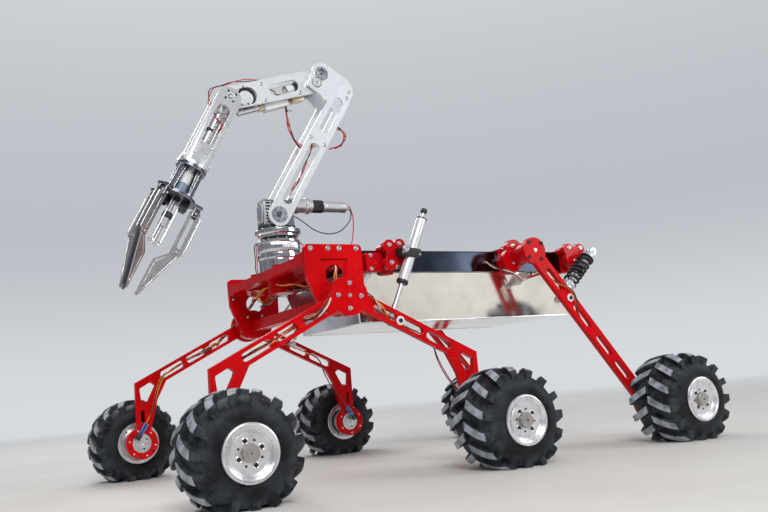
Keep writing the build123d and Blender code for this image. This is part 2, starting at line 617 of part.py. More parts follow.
def gripper_body():
    """Flange, four posts, and the plate with three pairs of cheeks that hold the fingers."""
    start = -WRIST_LINK_LENGTH - SEAT_GAP
    plate = -GRIP_PLATE_AT
    body = Pos(0, 0, start - GRIP_FLANGE_T / 2) * Cylinder(GRIP_FLANGE_R, GRIP_FLANGE_T)
    body += Pos(0, 0, plate - GRIP_PLATE_T / 2) * Cylinder(GRIP_PLATE_R, GRIP_PLATE_T)
    post_x, post_y = GRIP_POST_AT
    length = start - GRIP_FLANGE_T - plate
    for x in (-post_x, post_x):
        for y in (-post_y, post_y):
            body += Pos(x, y, plate + length / 2) * Box(*GRIP_POST, length)
    cheek_in = FINGER_T / 2 + CHEEK_GAP
    for phase in FINGER_PHASES:
        ear = box((0, FINGER_RING + EAR_REACH - CHEEK_HALF), (-EAR_WIDTH / 2, EAR_WIDTH / 2),
                  (plate - GRIP_PLATE_T, plate))
        cheek = box((FINGER_RING - CHEEK_HALF, FINGER_RING + CHEEK_HALF), (cheek_in, cheek_in + CHEEK_T),
                    (-FINGER_PIVOT_AT - CHEEK_HALF, plate))
        body += Rot(0, 0, phase) * (ear + cheek + mirrored(cheek))
    return tool(body)


def gripper_motor():
    start = -WRIST_LINK_LENGTH - SEAT_GAP - GRIP_FLANGE_T
    return tool(rod((0, 0, start), (0, 0, -GRIP_PLATE_AT), GRIP_MOTOR_R))


def gripper_screw():
    top = -GRIP_PLATE_AT - GRIP_PLATE_T
    return tool(rod((0, 0, top), (0, 0, -SCREW_END), SCREW_R))


def gripper_nut():
    near, far = NUT_SPAN
    body = rod((0, 0, -near), (0, 0, -far), NUT_R)
    body -= rod((0, 0, -near + 1), (0, 0, -far - 1), SCREW_R + SEAT_GAP)
    return tool(body)


def finger(phase):
    """Slotted link parallel to the tool axis, then a flat fingertip that closes on the axis."""
    pivot = (FINGER_RING, -FINGER_PIVOT_AT)
    knuckle = (FINGER_RING, -FINGER_KNUCKLE_AT)
    outline = strip(pivot, knuckle, FINGER_WIDTH)
    outline += polygon(*[(ring, -along) for ring, along in FINGER_PALM])
    start, end, width = FINGER_SLOT
    outline -= strip(between(pivot, knuckle, start), between(pivot, knuckle, end), width)
    return tool(Rot(0, 0, phase) * slab(outline, -FINGER_T / 2, FINGER_T / 2))


def lead(name, points, radius):
    """Wire along straight runs joined by arcs, each as large as its two runs allow."""
    route = [Vector(*point) for point in points]
    radii = []
    for before, corner, after in zip(route, route[1:], route[2:]):
        turn = radians((corner - before).get_angle(after - corner))
        shorter = min((corner - before).length, (after - corner).length)
        radii.append(0.45 * shorter / tan(turn / 2))
    print(name, "bend radii", [round(value, 1) for value in radii])
    path = FilletPolyline(*route, radius=radii)
    section = Plane(origin=route[0], z_dir=route[1] - route[0]) * Circle(radius)
    return sweep(section, path=path)


# Wheels and what carries them
for axle, x in AXLES.items():
    save_pair(f"tyre_{axle}", tyre(x))
    save_pair(f"rim_{axle}", rim(x))
    save_both(f"hub_motors_{axle}", hub_motor(x))

middle_leg = mirror(rocker_leg(PIVOT_X - AXLES["middle"]), about=Plane.YZ.offset(PIVOT_X))
save_pair("rocker_front_leg", rocker_leg(AXLES["front"] - PIVOT_X))
save_pair("rocker_middle_leg", middle_leg)
save_both("rocker_hubs", drum(HUB_SPACER_R, PLATE_Y + PLATE_T, LEG_Y, PIVOT_X, PIVOT_Z))
save_pair("rear_leg", rear_leg())

# Chassis
save("chassis_rails", rails())
save("hopper", hopper())
deck_span = RAIL_Y - RAIL_T
save("deck", box((RAIL_BACK + CROSS_T, RAIL_FRONT - CROSS_T), (-deck_span, deck_span),
                 (RAIL_TOP - RAIL_H, RAIL_TOP - RAIL_H + DECK_T)))
save_pair("side_plate", side_plate())
save("crossmember", crossmember())
beam_half = PIVOT_BEAM_SIDE / 2
beam_low = PIVOT_Z - PIVOT_BEAM_DROP
save("pivot_beam", box((PIVOT_X - beam_half, PIVOT_X + beam_half), (-PLATE_Y, PLATE_Y),
                       (beam_low, beam_low + PIVOT_BEAM_SIDE)))
pivot_boss = drum(PIVOT_BOSS_R, PIVOT_CLAMP_REACH, LEG_Y, REAR_PIVOT_X, REAR_PIVOT_Z)
save_both("rear_pivot_clamps", clamp(PIVOT_LOBES, PIVOT_CLAMP_REACH) + pivot_boss)
save_both("rear_end_clamps", clamp(END_LOBES, END_CLAMP_REACH))
save_both("middle_clamps", clamp(MIDDLE_LOBES, STRUT_Y - DAMPER_TUBE_R - DAMPER_CLAMP_WALL))
save_both("dampers", damper())
save_both("damper_clamps", damper_clamp())
save_both("shocks", shock())

# Arm
save("turret_base", Pos(TURRET_X, 0, (CROSSMEMBER_TOP + TURRET_TOP) / 2)
     * Cylinder(TURRET_R, TURRET_TOP - CROSSMEMBER_TOP))
flange_low = TURRET_TOP + SEAT_GAP
flange_top = flange_low + FLANGE_T
save("turret_flange", Pos(TURRET_X, 0, flange_low + FLANGE_T / 2) * Cylinder(FLANGE_R, FLANGE_T))
bx, by, bz = SHOULDER_BLOCK
shaft_end = UPPER_PLATE_Y + UPPER_PLATE_T
save("shoulder_gearbox", Pos(SHOULDER_BLOCK_X, 0, flange_top + bz / 2) * Box(bx, by, bz)
     + drum(SHAFT_R, -shaft_end, shaft_end, *SHOULDER))
motor_end, gearhead_end = [(x, 0, SHOULDER_MOTOR_Z) for x in SHOULDER_MOTOR_X]
motor = rod((SHOULDER_BLOCK_X - bx / 2, 0, SHOULDER_MOTOR_Z), gearhead_end, SHOULDER_GEARHEAD_R)
motor += rod(gearhead_end, motor_end, ARM_MOTOR_R)
save("shoulder_motor", motor)
save("upper_arm", upper_arm())
save("forearm", forearm())
save("forearm_drive", forearm_drive())
save("wrist_link", wrist_link())
save("wrist_motor", wrist_motor())
save("gripper_body", gripper_body())
save("gripper_motor", gripper_motor())
save("gripper_screw", gripper_screw())
save("gripper_nut", gripper_nut())
for number, phase in enumerate(FINGER_PHASES, 1):
    save(f"finger_{number}", finger(phase))

# Wires
save("shoulder_lead", lead("shoulder_lead", SHOULDER_LEAD, LEAD_R))
save_both("hub_harness", lead("hub_harness", HUB_HARNESS, HARNESS_R))
save_both("middle_harness", lead("middle_harness", MIDDLE_HARNESS, LEAD_R))
save_both("rear_harness", lead("rear_harness", REAR_HARNESS, LEAD_R))
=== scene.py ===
"""Planetary rover prototype: finishes, fine detail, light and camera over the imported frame.

Lengths are millimetres, and x is measured from the middle axle, as in the part's source.  build() turns them into the
frame's metres.  Finishes, lamps and the world are in metres.
"""
import json
from math import cos, pi, radians, sin

import bmesh
import bpy
import numpy as np
from mathutils import Matrix, Vector

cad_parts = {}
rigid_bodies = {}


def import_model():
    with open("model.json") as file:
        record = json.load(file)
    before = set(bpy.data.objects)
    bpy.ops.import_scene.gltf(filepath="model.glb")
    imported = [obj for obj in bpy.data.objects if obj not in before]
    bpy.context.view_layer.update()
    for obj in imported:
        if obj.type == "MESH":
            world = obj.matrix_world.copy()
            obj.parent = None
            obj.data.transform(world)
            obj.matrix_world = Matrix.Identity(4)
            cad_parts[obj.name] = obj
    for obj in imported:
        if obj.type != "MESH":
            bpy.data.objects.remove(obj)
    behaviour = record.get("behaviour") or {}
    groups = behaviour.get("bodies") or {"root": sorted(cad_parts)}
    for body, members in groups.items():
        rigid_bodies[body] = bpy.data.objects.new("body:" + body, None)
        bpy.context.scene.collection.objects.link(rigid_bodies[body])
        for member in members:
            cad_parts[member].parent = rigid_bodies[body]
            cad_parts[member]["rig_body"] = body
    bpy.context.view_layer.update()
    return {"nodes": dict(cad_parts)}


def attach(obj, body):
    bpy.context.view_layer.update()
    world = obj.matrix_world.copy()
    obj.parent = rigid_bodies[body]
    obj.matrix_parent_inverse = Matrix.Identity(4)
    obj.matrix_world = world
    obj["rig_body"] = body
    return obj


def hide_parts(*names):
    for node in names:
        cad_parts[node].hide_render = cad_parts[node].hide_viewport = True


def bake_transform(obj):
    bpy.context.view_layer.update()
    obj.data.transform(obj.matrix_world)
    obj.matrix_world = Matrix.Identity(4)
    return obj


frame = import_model()

MIDDLE_AXLE_X = -40.19
TAU = 2 * pi
FOCAL_PX = 813.9793
IMAGE_W = 768
CAMERA_AT = (1.11291, 1.9844, 0.2043)
YAW, PITCH, ROLL = radians(-29.683), radians(8.9719), radians(-4.8298)


def at(points):
    """Metres in the frame for millimetres measured from the middle axle."""
    return (np.asarray(points, float) + (MIDDLE_AXLE_X, 0, 0)) / 1000


def place_camera():
    """Level camera turned by yaw, raised by pitch, then rolled about its line of sight."""
    forward = Vector((sin(YAW) * cos(PITCH), -cos(YAW) * cos(PITCH), sin(PITCH)))
    right = Vector((-cos(YAW), -sin(YAW), 0))
    up = right.cross(forward)
    right_rolled = cos(ROLL) * right + sin(ROLL) * up
    up_rolled = -sin(ROLL) * right + cos(ROLL) * up
    data = bpy.data.cameras.new("camera")
    data.sensor_width = 36
    data.lens = FOCAL_PX * data.sensor_width / IMAGE_W
    data.clip_start, data.clip_end = 0.01, 100
    camera = bpy.data.objects.new("camera", data)
    turn = Matrix((right_rolled, up_rolled, -forward)).transposed()
    camera.matrix_world = Matrix.Translation(CAMERA_AT) @ turn.to_4x4()
    bpy.context.scene.collection.objects.link(camera)
    bpy.context.scene.camera = camera


place_camera()


# Shapes: each returns (vertices, faces) in millimetres, in its own axes unless told otherwise

def through_rings(rings, looped=False):
    """Skin over closed rings of points: a quad between neighbours on ring i and ring i + 1, a flat face on each end.

    Looped, the last ring joins the first, and there are no ends.
    """
    rows, columns = rings.shape[:2]
    row = np.arange(rows if looped else rows - 1)[:, None]
    here = np.arange(columns)
    after = (here + 1) % columns
    low, high = row * columns, (row + 1) % rows * columns
    faces = np.stack((low + here, low + after, high + after, high + here), axis=-1).reshape(-1, 4).tolist()
    if not looped:
        faces.append(here[::-1].tolist())
        faces.append((here + (rows - 1) * columns).tolist())
    return rings.reshape(-1, 3), faces


def lathe(profile, sides=48, looped=False, flutes=0, depth=0):
    """Turned piece about Z: each (radius, height) of the profile swept through a full circle.

    A fluted piece's radius also falls and rises by a cosine of the angle times the number of flutes.
    """
    profile = np.asarray(profile, float)
    angle = np.arange(sides) * TAU / sides
    radius, height = profile[:, :1], profile[:, 1:]
    radius = radius - depth * (0.5 + 0.5 * np.cos(flutes * angle))
    rings = np.stack((radius * np.cos(angle), radius * np.sin(angle), height + 0 * angle), axis=-1)
    return through_rings(rings, looped)


def finely(profile):
    """Profile with a point close to each end of every run, so that smooth shading keeps its flats."""
    fine = []
    for (r0, h0), (r1, h1) in zip(profile, profile[1:]):
        fine += [(r0, h0)] + [(r0 + (r1 - r0) * s, h0 + (h1 - h0) * s) for s in (0.06, 0.94)]
    return fine + [profile[-1]]


def turning(profile, sides=48, *more):
    """Turned piece about Z with crisp flats."""
    return lathe(finely(profile), sides, *more)


def turned_about(piece, turn):
    """A piece turned about Z."""
    vertices, faces = piece
    c, s = cos(turn), sin(turn)
    x, y, z = vertices.T
    return np.c_[x * c - y * s, x * s + y * c, z], faces


def moved(piece, x=0, y=0, z=0):
    """A piece shifted."""
    return piece[0] + (x, y, z), piece[1]


def block(x_span, y_span, z_span, edge=0.8):
    """Box between low and high values on each axis, its corners in plan and its two rims rounded."""
    (x0, x1), (y0, y1) = x_span, y_span
    return prism(round_outline(((x0, y0), (x1, y0), (x1, y1), (x0, y1)), edge * 1.6, 3), *z_span, edge)


def grown(outline, distance):
    """Outline moved outwards: each corner goes along the mean of its sides' normals, over the half-turn's cosine."""
    outline = np.asarray(outline, float)
    side = np.roll(outline, -1, axis=0) - outline
    side /= np.linalg.norm(side, axis=1, keepdims=True)
    normal = np.stack((side[:, 1], -side[:, 0]), axis=1)
    mean = normal + np.roll(normal, 1, axis=0)
    mean /= np.linalg.norm(mean, axis=1, keepdims=True)
    return outline + mean * distance / np.maximum((mean * normal).sum(1, keepdims=True), 0.4)


def prism(outline, low, high, edge=0.8):
    """Flat outline from one height to another, its two rims rounded by rings set in by a quarter circle."""
    turn = np.array((0, 0.3, 0.65, 1)) * pi / 2
    inset, rise = edge * (1 - np.sin(turn)), edge * (1 - np.cos(turn))
    rings = [np.c_[grown(outline, -i), np.full(len(outline), low + r)] for i, r in zip(inset, rise)]
    rings += [np.c_[grown(outline, -i), np.full(len(outline), high - r)] for i, r in zip(inset[::-1], rise[::-1])]
    return through_rings(np.array(rings))


def round_outline(points, radius, steps=4):
    """Polygon with each corner cut by an arc: a quadratic curve between points set back along both sides."""
    points = np.asarray(points, float)
    before, after = np.roll(points, 1, axis=0) - points, np.roll(points, -1, axis=0) - points
    long_before, long_after = np.linalg.norm(before, axis=1), np.linalg.norm(after, axis=1)
    back = np.minimum(radius, 0.45 * np.minimum(long_before, long_after))[:, None]
    start = points + before / long_before[:, None] * back
    end = points + after / long_after[:, None] * back
    t = np.linspace(0, 1, steps + 1)[None, :, None]
    arc = (1 - t) ** 2 * start[:, None] + 2 * t * (1 - t) * points[:, None] + t ** 2 * end[:, None]
    return arc.reshape(-1, 2)


def hexagon(across_flats, angle):
    """Distance from the middle to a hexagon's side at each angle: half its width over the nearest flat's cosine."""
    return across_flats / 2 / np.cos((angle + pi / 6) % (pi / 3) - pi / 6)


def socket_screw(head_r, head_h, socket=None):
    """Cap screw head standing on Z = 0: a turned head with a hexagonal socket, whose rings follow the hexagon."""
    socket = socket or head_r
    angle = np.arange(24) * TAU / 24
    six = hexagon(socket, angle)
    full = np.ones_like(angle)
    rows = ((head_r * full, 0), (head_r * full, head_h * 0.82), (head_r * 0.9 * full, head_h), (six * 1.08, head_h),
        (six, head_h * 0.94), (six, head_h * 0.4), (six * 0.05, head_h * 0.3))
    rings = np.array([np.stack((r * np.cos(angle), r * np.sin(angle), z + 0 * angle), axis=1) for r, z in rows])
    return through_rings(rings)


def button_screw(head_r, head_h):
    """Domed head on Z = 0: a quarter ellipse turned about Z, with a small socket."""
    turn = np.linspace(0, pi / 2, 6)[:-1]
    dome = np.c_[head_r * np.cos(turn), head_h * np.sin(turn)]
    socket = [(head_r * 0.36, head_h * 0.93), (head_r * 0.3, head_h * 0.45), (0.01, head_h * 0.4)]
    return lathe(np.r_[dome, socket], 20)


def smooth_route(points, count):
    """Even run of points on the Catmull-Rom curve through the given ones."""
    p = np.asarray(points, float)
    p = np.vstack((2 * p[:1] - p[1:2], p, 2 * p[-1:] - p[-2:-1]))
    where = np.linspace(0, len(p) - 3 - 1e-9, count)
    i = where.astype(int)
    t = (where - i)[:, None]
    a, b, c, d = p[i], p[i + 1], p[i + 2], p[i + 3]
    return 0.5 * (2 * b + (c - a) * t + (2 * a - 5 * b + 4 * c - d) * t ** 2 + (3 * b - a - 3 * c + d) * t ** 3)


def tube(route, radius, sides=10, aside=(0, 1, 0)):
    """Round section carried along a route: at each point a circle in the plane square to the route's direction."""
    route = np.asarray(route, float)
    ahead = np.gradient(route, axis=0)
    ahead /= np.linalg.norm(ahead, axis=1, keepdims=True)
    across = np.cross(ahead, aside)
    across /= np.maximum(np.linalg.norm(across, axis=1, keepdims=True), 1e-9)
    over = np.cross(ahead, across)
    angle = np.arange(sides) * TAU / sides
    radius = np.broadcast_to(np.asarray(radius, float), (len(route),))[:, None, None]
    circle = across[:, None] * np.cos(angle)[None, :, None] + over[:, None] * np.sin(angle)[None, :, None]
    return through_rings(route[:, None] + radius * circle)


def bar(start, end, radius, sides=8, points=4, aside=(0, 1, 0)):
    """Straight round bar: a circle carried along the line between two points."""
    start, end = np.asarray(start, float), np.asarray(end, float)
    return tube(start + (end - start) * np.linspace(0, 1, points)[:, None], radius, sides, aside)


def towards(piece, origin, axis, turn=0):
    """Stand a piece drawn along Z on an axis through a point, after a turn about its own Z."""
    vertices, faces = piece
    z = np.asarray(axis, float) / np.linalg.norm(axis)
    x = np.cross((0, 1, 0) if abs(z[1]) < 0.9 else (0, 0, 1), z)
    x /= np.linalg.norm(x)
    y = np.cross(z, x)
    c, s = cos(turn), sin(turn)
    basis = np.array((c * x + s * y, c * y - s * x, z))
    return vertices @ basis + np.asarray(origin, float), faces


def joined(*pieces):
    """Several pieces as one, with the face indices of each moved past the vertices before it."""
    vertices, faces, base = [], [], 0
    for points, sides in pieces:
        vertices.append(points)
        faces += [[index + base for index in side] for side in sides]
        base += len(points)
    return np.vstack(vertices), faces


def on_both_sides(*pieces):
    """Pieces and their mirror images over the middle plane."""
    vertices, faces = joined(*pieces)
    return joined((vertices, faces), (vertices * (1, -1, 1), faces))


def build(name, piece, finish, body="root", replaces=(), slot=None, smooth=38, attributes=None):
    """One object from a piece in millimetres, on its body; edges sharper than smooth, in degrees, stay sharp."""
    vertices, faces = piece
    mesh = bpy.data.meshes.new(name)
    mesh.from_pydata(at(vertices).tolist(), [], faces)
    for key, values in (attributes or {}).items():
        layer = mesh.attributes.new(key, "FLOAT", "POINT")
        layer.data.foreach_set("value", np.asarray(values, np.float32))
    work = bmesh.new()
    work.from_mesh(mesh)
    bmesh.ops.recalc_face_normals(work, faces=work.faces)
    work.to_mesh(mesh)
    work.free()
    mesh.shade_smooth()
    mesh.set_sharp_from_angle(angle=radians(smooth))
    mesh.materials.append(finish)
    piece_object = bpy.data.objects.new(name, mesh)
    bpy.context.scene.collection.objects.link(piece_object)
    if body:
        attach(piece_object, body)
    if replaces:
        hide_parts(*replaces)
    return piece_object


# Finishes

class Nodes:
    """Short calls that add nodes and patterns to a node tree."""

    def __init__(self, tree):
        self.tree = tree

    def add(self, kind, settings=(), **inputs):
        """New node; an input is a number, a colour, or another node's output."""
        node = self.tree.nodes.new(kind)
        for key, value in dict(settings).items():
            setattr(node, key, value)
        for key, value in inputs.items():
            numbered = key[0] == "i" and key[1:].isdigit()
            socket = node.inputs[int(key[1:]) if numbered else key.replace("_", " ")]
            if isinstance(value, bpy.types.NodeSocket):
                self.tree.links.new(value, socket)
            else:
                socket.default_value = value
        return node

    def place(self, scale=(1, 1, 1), turn=(0, 0, 0)):
        """Object coordinates, turned and stretched."""
        where = self.add("ShaderNodeTexCoord").outputs["Object"]
        return self.add("ShaderNodeMapping", Vector=where, Scale=scale, Rotation=turn).outputs[0]

    def noise(self, scale, detail=4, place=None):
        return self.add("ShaderNodeTexNoise", Vector=place or self.place(), Scale=scale, Detail=detail,
                        Roughness=0.55).outputs["Fac"]

    def ranged(self, value, low, high, to_low=0, to_high=1):
        """Straight-line map of a value from one range to another, held at its ends."""
        return self.add("ShaderNodeMapRange", {"clamp": True}, i0=value, i1=low, i2=high, i3=to_low,
            i4=to_high).outputs[0]

    def mixed(self, factor, first, second, blend="MIX"):
        """Colour between two."""
        node = self.add("ShaderNodeMix", {"data_type": "RGBA", "blend_type": blend}, i0=factor)
        for socket, value in ((node.inputs[6], first), (node.inputs[7], second)):
            if isinstance(value, bpy.types.NodeSocket):
                self.tree.links.new(value, socket)
            else:
                socket.default_value = (*value, 1)
        return node.outputs[2]

    def sums(self, first, second, kind="MULTIPLY"):
        """One number from two: their product unless told otherwise."""
        return self.add("ShaderNodeMath", {"operation": kind}, i0=first, i1=second).outputs[0]

    def ramp(self, value, *stops):
        """Colours by value, eased between stops."""
        node = self.add("ShaderNodeValToRGB", i0=value)
        node.color_ramp.interpolation = "EASE"
        elements = [*node.color_ramp.elements] + [node.color_ramp.elements.new(place) for place, _ in stops[2:]]
        for (place, colour), stop in zip(stops, elements):
            stop.position, stop.color = place, (*colour, 1)
        return node.outputs[0]


class Finish(Nodes):
    """A finish: its material, its Principled shader, and what drives the shader's colour, roughness and bump."""

    def __init__(self, name, colour, metallic=0, roughness=0.5, **sockets):
        self.material = bpy.data.materials.new(name)
        self.material.use_nodes = True
        self.material.diffuse_color = (*colour, 1)
        super().__init__(self.material.node_tree)
        self.shader = self.tree.nodes["Principled BSDF"]
        self.set("Base Color", (*colour, 1))
        self.set("Metallic", metallic)
        self.set("Roughness", roughness)
        for socket, value in sockets.items():
            self.set(socket.replace("_", " "), value)

    def set(self, socket, value):
        self.shader.inputs[socket].default_value = value

    def attribute(self, name):
        return self.add("ShaderNodeAttribute", {"attribute_name": name}).outputs["Fac"]

    def drive(self, socket, output):
        self.tree.links.new(output, self.shader.inputs[socket])

    def colour_from(self, output):
        self.drive("Base Color", output)

    def roughness_from(self, output):
        self.drive("Roughness", output)

    def bump_from(self, height, strength, distance):
        """Bump from a height; the distance is in metres."""
        node = self.add("ShaderNodeBump", Height=height, Strength=strength, Distance=distance)
        self.drive("Normal", node.outputs[0])


def red_coat(name, colour, roughness, worn, coat=0.5, coat_ior=1.2):
    """Bright red over machined plate: patchy gloss, fine orange peel, small pale rubs; the bevels' lighter red with a
    large worn share is partly wear and partly a painted edge highlight.
    """
    finish = Finish(name, colour, 0, roughness, Coat_Weight=coat, Coat_Roughness=0.07, Coat_IOR=coat_ior,
                    Specular_IOR_Level=0.05)
    patches = finish.noise(9, 5)
    rubs = finish.ranged(finish.noise(85, 6), 0.66, 0.74)
    deep = tuple(c * 0.8 for c in colour)
    body = finish.mixed(finish.ranged(patches, 0.35, 0.68), deep, colour)
    finish.colour_from(finish.mixed(finish.sums(rubs, worn), body, (0.85, 0.16, 0.12)))
    finish.roughness_from(finish.ranged(patches, 0.3, 0.7, roughness - 0.08, roughness + 0.1))
    finish.bump_from(finish.noise(900, 2), 0.06, 0.0004)
    return finish.material


def metal(name, colour, roughness, stretch=(1, 1, 1), turn=(0, 0, 0), grain=420, depth=0.12, smudge=0.15, metallic=1):
    """Bare metal: grain drawn out along one direction, and smudges that dull it in patches."""
    finish = Finish(name, colour, metallic, roughness)
    lines = finish.noise(grain, 3, finish.place(stretch, turn))
    patches = finish.noise(14, 5)
    dull = tuple(c * 0.8 for c in colour)
    finish.colour_from(finish.mixed(finish.ranged(patches, 0.4, 0.75), colour, dull))
    rough = finish.ranged(patches, 0.3, 0.75, roughness, roughness + smudge)
    finish.roughness_from(finish.sums(rough, finish.ranged(lines, 0.2, 0.8, 0.8, 1.25)))
    finish.bump_from(lines, depth, 0.0003)
    return finish.material


def gloss(name, colour, roughness, speck=0.06, coat=0):
    """Dark or coloured moulded or painted surface with faint dust and fine texture."""
    finish = Finish(name, colour, 0, roughness, Coat_Weight=coat, Coat_Roughness=0.08)
    dust = finish.noise(38, 6)
    pale = tuple(min(1, c + speck) for c in colour)
    finish.colour_from(finish.mixed(finish.ranged(dust, 0.48, 0.8), colour, pale))
    finish.roughness_from(finish.ranged(dust, 0.3, 0.8, roughness, roughness + 0.18))
    finish.bump_from(finish.noise(600, 2), 0.06, 0.0003)
    return finish.material


def tyre_rubber():
    """Black rubber, greyed on the lugs' upper faces by dust and a painted highlight, and between the lugs by dust and
    a painted sky reflection; the lug attribute is one on a lug's top.
    """
    finish = Finish("tyre_rubber", (0.008, 0.009, 0.011), 0, 0.55, Specular_IOR_Level=0.25)
    lug = finish.attribute("lug")
    tread = finish.attribute("tread")
    dust = finish.noise(42, 7)
    # Pale blue-grey on the lugs' upper faces: partly dust, partly a painted highlight.
    lug_dust_and_highlight = finish.sums(finish.ranged(lug, 0.8, 1), finish.ranged(dust, 0.34, 0.6, 0.35, 1))
    film = finish.ranged(finish.noise(17, 6), 0.45, 0.66)
    side = finish.mixed(film, (0.003, 0.0035, 0.0045), (0.022, 0.027, 0.034))
    # Blue-grey between the lugs, where the tread attribute is high: partly dust, partly a painted sky reflection.
    black = finish.mixed(finish.sums(tread, finish.ranged(dust, 0.42, 0.6, 0.1, 1)), side, (0.055, 0.066, 0.08))
    finish.colour_from(finish.mixed(lug_dust_and_highlight, black, (0.44, 0.48, 0.54)))
    finish.roughness_from(finish.ranged(dust, 0.3, 0.7, 0.42, 0.7))
    fine = finish.sums(finish.noise(700, 3), finish.sums(dust, 1.6), "ADD")
    finish.bump_from(fine, 0.4, 0.0008)
    return finish.material


def wheel_metal(name, colour, roughness, dulled=0.62):
    """Turned metal: grooves follow the radius, which the piece keeps as an attribute."""
    finish = Finish(name, colour, 1, roughness)
    radius = finish.attribute("turned")
    line = finish.add("ShaderNodeCombineXYZ", X=finish.sums(radius, 900)).outputs[0]
    grooves = finish.noise(1, 3, line)
    smudge = finish.noise(34, 6)
    dull = tuple(c * dulled for c in colour)
    finish.colour_from(finish.mixed(finish.ranged(smudge, 0.47, 0.72), colour, dull))
    finish.roughness_from(finish.ranged(smudge, 0.3, 0.75, roughness, roughness + 0.22))
    finish.bump_from(grooves, 0.25, 0.0005)
    return finish.material


DRAWN = (0.12, 1, 1)
LENGTHWISE = (1, 1, 0.08)
UPPER_LEAN, FORE_LEAN, TOOL_LEAN = ((0, radians(a), 0) for a in (-59, 19, 62))
PALE, BRIGHT_PALE = (0.84, 0.85, 0.87), (0.90, 0.92, 0.945)

RED = red_coat("red_paint", (0.70, 0.003, 0.006), 0.3, 0.35)
# Bevels of the red parts: a lighter red with many pale rubs, partly wear and partly a painted edge highlight.
RED_EDGE_WEAR_AND_HIGHLIGHT = red_coat("red_edge_wear_and_highlight", (0.80, 0.02, 0.02), 0.2, 0.8, 1, 1.5)
RED_CAST = red_coat("red_cast", (0.66, 0.003, 0.008), 0.16, 0.3, 0.8, 1.3)
TYRE = tyre_rubber()
RIM = wheel_metal("rim_metal", (0.86, 0.86, 0.88), 0.24, 0.72)
CAP = wheel_metal("hub_cap", (0.50, 0.46, 0.43), 0.34, 0.7)
SILVER = metal("silver", PALE, 0.26, LENGTHWISE)
ARM = metal("arm_metal", BRIGHT_PALE, 0.33, DRAWN, UPPER_LEAN, 500, metallic=0.72)
FORE = metal("forearm_metal", BRIGHT_PALE, 0.33, DRAWN, FORE_LEAN, 500, metallic=0.72)
TOOL = metal("tool_metal", PALE, 0.24, DRAWN, TOOL_LEAN, 500, metallic=0.8)
FINGER = metal("finger_metal", (0.50, 0.49, 0.49), 0.27, DRAWN, TOOL_LEAN, 500, metallic=0.85)
TOOL_DARK = metal("tool_dark", (0.17, 0.18, 0.22), 0.27, DRAWN, TOOL_LEAN, 400)
STEEL = metal("steel", (0.72, 0.72, 0.74), 0.3, metallic=0.9)
TUBE = metal("strut_tube", (0.84, 0.86, 0.89), 0.3, LENGTHWISE, depth=0.03, metallic=0.55)
MOTOR = metal("motor_case", (0.85, 0.85, 0.86), 0.26, (0.1, 1, 1), metallic=0.75)
BRIGHT = metal("bright_edge", (0.92, 0.92, 0.94), 0.16)
POLISHED = metal("polished_drum", (0.88, 0.87, 0.88), 0.08, (1, 1, 0.04), grain=160, depth=0.2, smudge=0.12)
MIRROR = metal("mirror_sheet", (0.86, 0.83, 0.77), 0.05, (0.1, 1, 1), grain=60, depth=0.03, smudge=0.1)
RAIL = metal("rail_mirror", (0.075, 0.09, 0.13), 0.06, (0.4, 1, 1), grain=24, depth=0.25, smudge=0.14)
# Dark grey for the fingers' narrow faces: painted shade between their plates.
SHADED_RIM_GREY = metal("painted_shade_rim_grey", (0.24, 0.25, 0.28), 0.3)
GEAR = metal("gearbox_grey", (0.20, 0.23, 0.29), 0.36, grain=300, depth=0.2, smudge=0.2, metallic=0.8)
SCREW = metal("screw_steel", (0.80, 0.80, 0.81), 0.2)
# Blue-grey for the hopper's front panel: painted shade and reflection on the same mirror sheet.
FRONT_PAINTED_REFLECTION = metal("front_panel_painted_reflection", (0.50, 0.54, 0.62), 0.18)
BRASS = metal("pale_brass", (0.80, 0.68, 0.48), 0.3)
BLACK = gloss("black_gloss", (0.008, 0.008, 0.010), 0.16, 0.03, 0.4)
SATIN = gloss("black_satin", (0.014, 0.014, 0.016), 0.4)
# Black for black screws, and also for dark studs, rings and discs that are painted shade in holes and gaps.
BLACK_SCREWS_AND_SHADE = gloss("black_screws_and_painted_shade", (0.010, 0.010, 0.012), 0.3)
WHITE = gloss("white_housing", (0.78, 0.79, 0.80), 0.35, -0.1)
BLUE_GREY = gloss("blue_grey_housing", (0.22, 0.30, 0.40), 0.3, 0.05)
WIRE = {name: gloss(f"{'sleeve' if name == 'blue' else 'wire'}_{name}", colour, roughness, speck)
        for name, colour, roughness, speck in (
            ("red", (0.62, 0.01, 0.015), 0.32, 0.05), ("black", (0.01, 0.01, 0.012), 0.35, 0.03),
            ("white", (0.82, 0.80, 0.76), 0.4, -0.1), ("yellow", (0.80, 0.42, 0.03), 0.35, -0.05),
            ("orange", (0.80, 0.20, 0.04), 0.35, -0.05), ("blue", (0.02, 0.22, 0.62), 0.35, 0.05),
            ("grey", (0.28, 0.28, 0.30), 0.4, 0.06))}


def merged_copy(node):
    """The CAD node's mesh, copied, with its doubled points merged and its flat faces made whole."""
    mesh = frame["nodes"][node].data.copy()
    work = bmesh.new()
    work.from_mesh(mesh)
    bmesh.ops.remove_doubles(work, verts=work.verts, dist=2e-6)
    bmesh.ops.dissolve_limit(work, angle_limit=radians(0.6), verts=work.verts, edges=work.edges)
    work.to_mesh(mesh)
    work.free()
    mesh.materials.clear()
    return mesh


def round_edges(piece_object, width, edge_finish, segments=2):
    """Bevel on every sharp edge, in its own finish."""
    piece_object.data.materials.append(edge_finish)
    bevel = piece_object.modifiers.new("edges", "BEVEL")
    bevel.width = width / 1000
    bevel.segments = segments
    bevel.limit_method = "ANGLE"
    bevel.angle_limit = radians(40)
    bevel.harden_normals = True
    bevel.material = 1


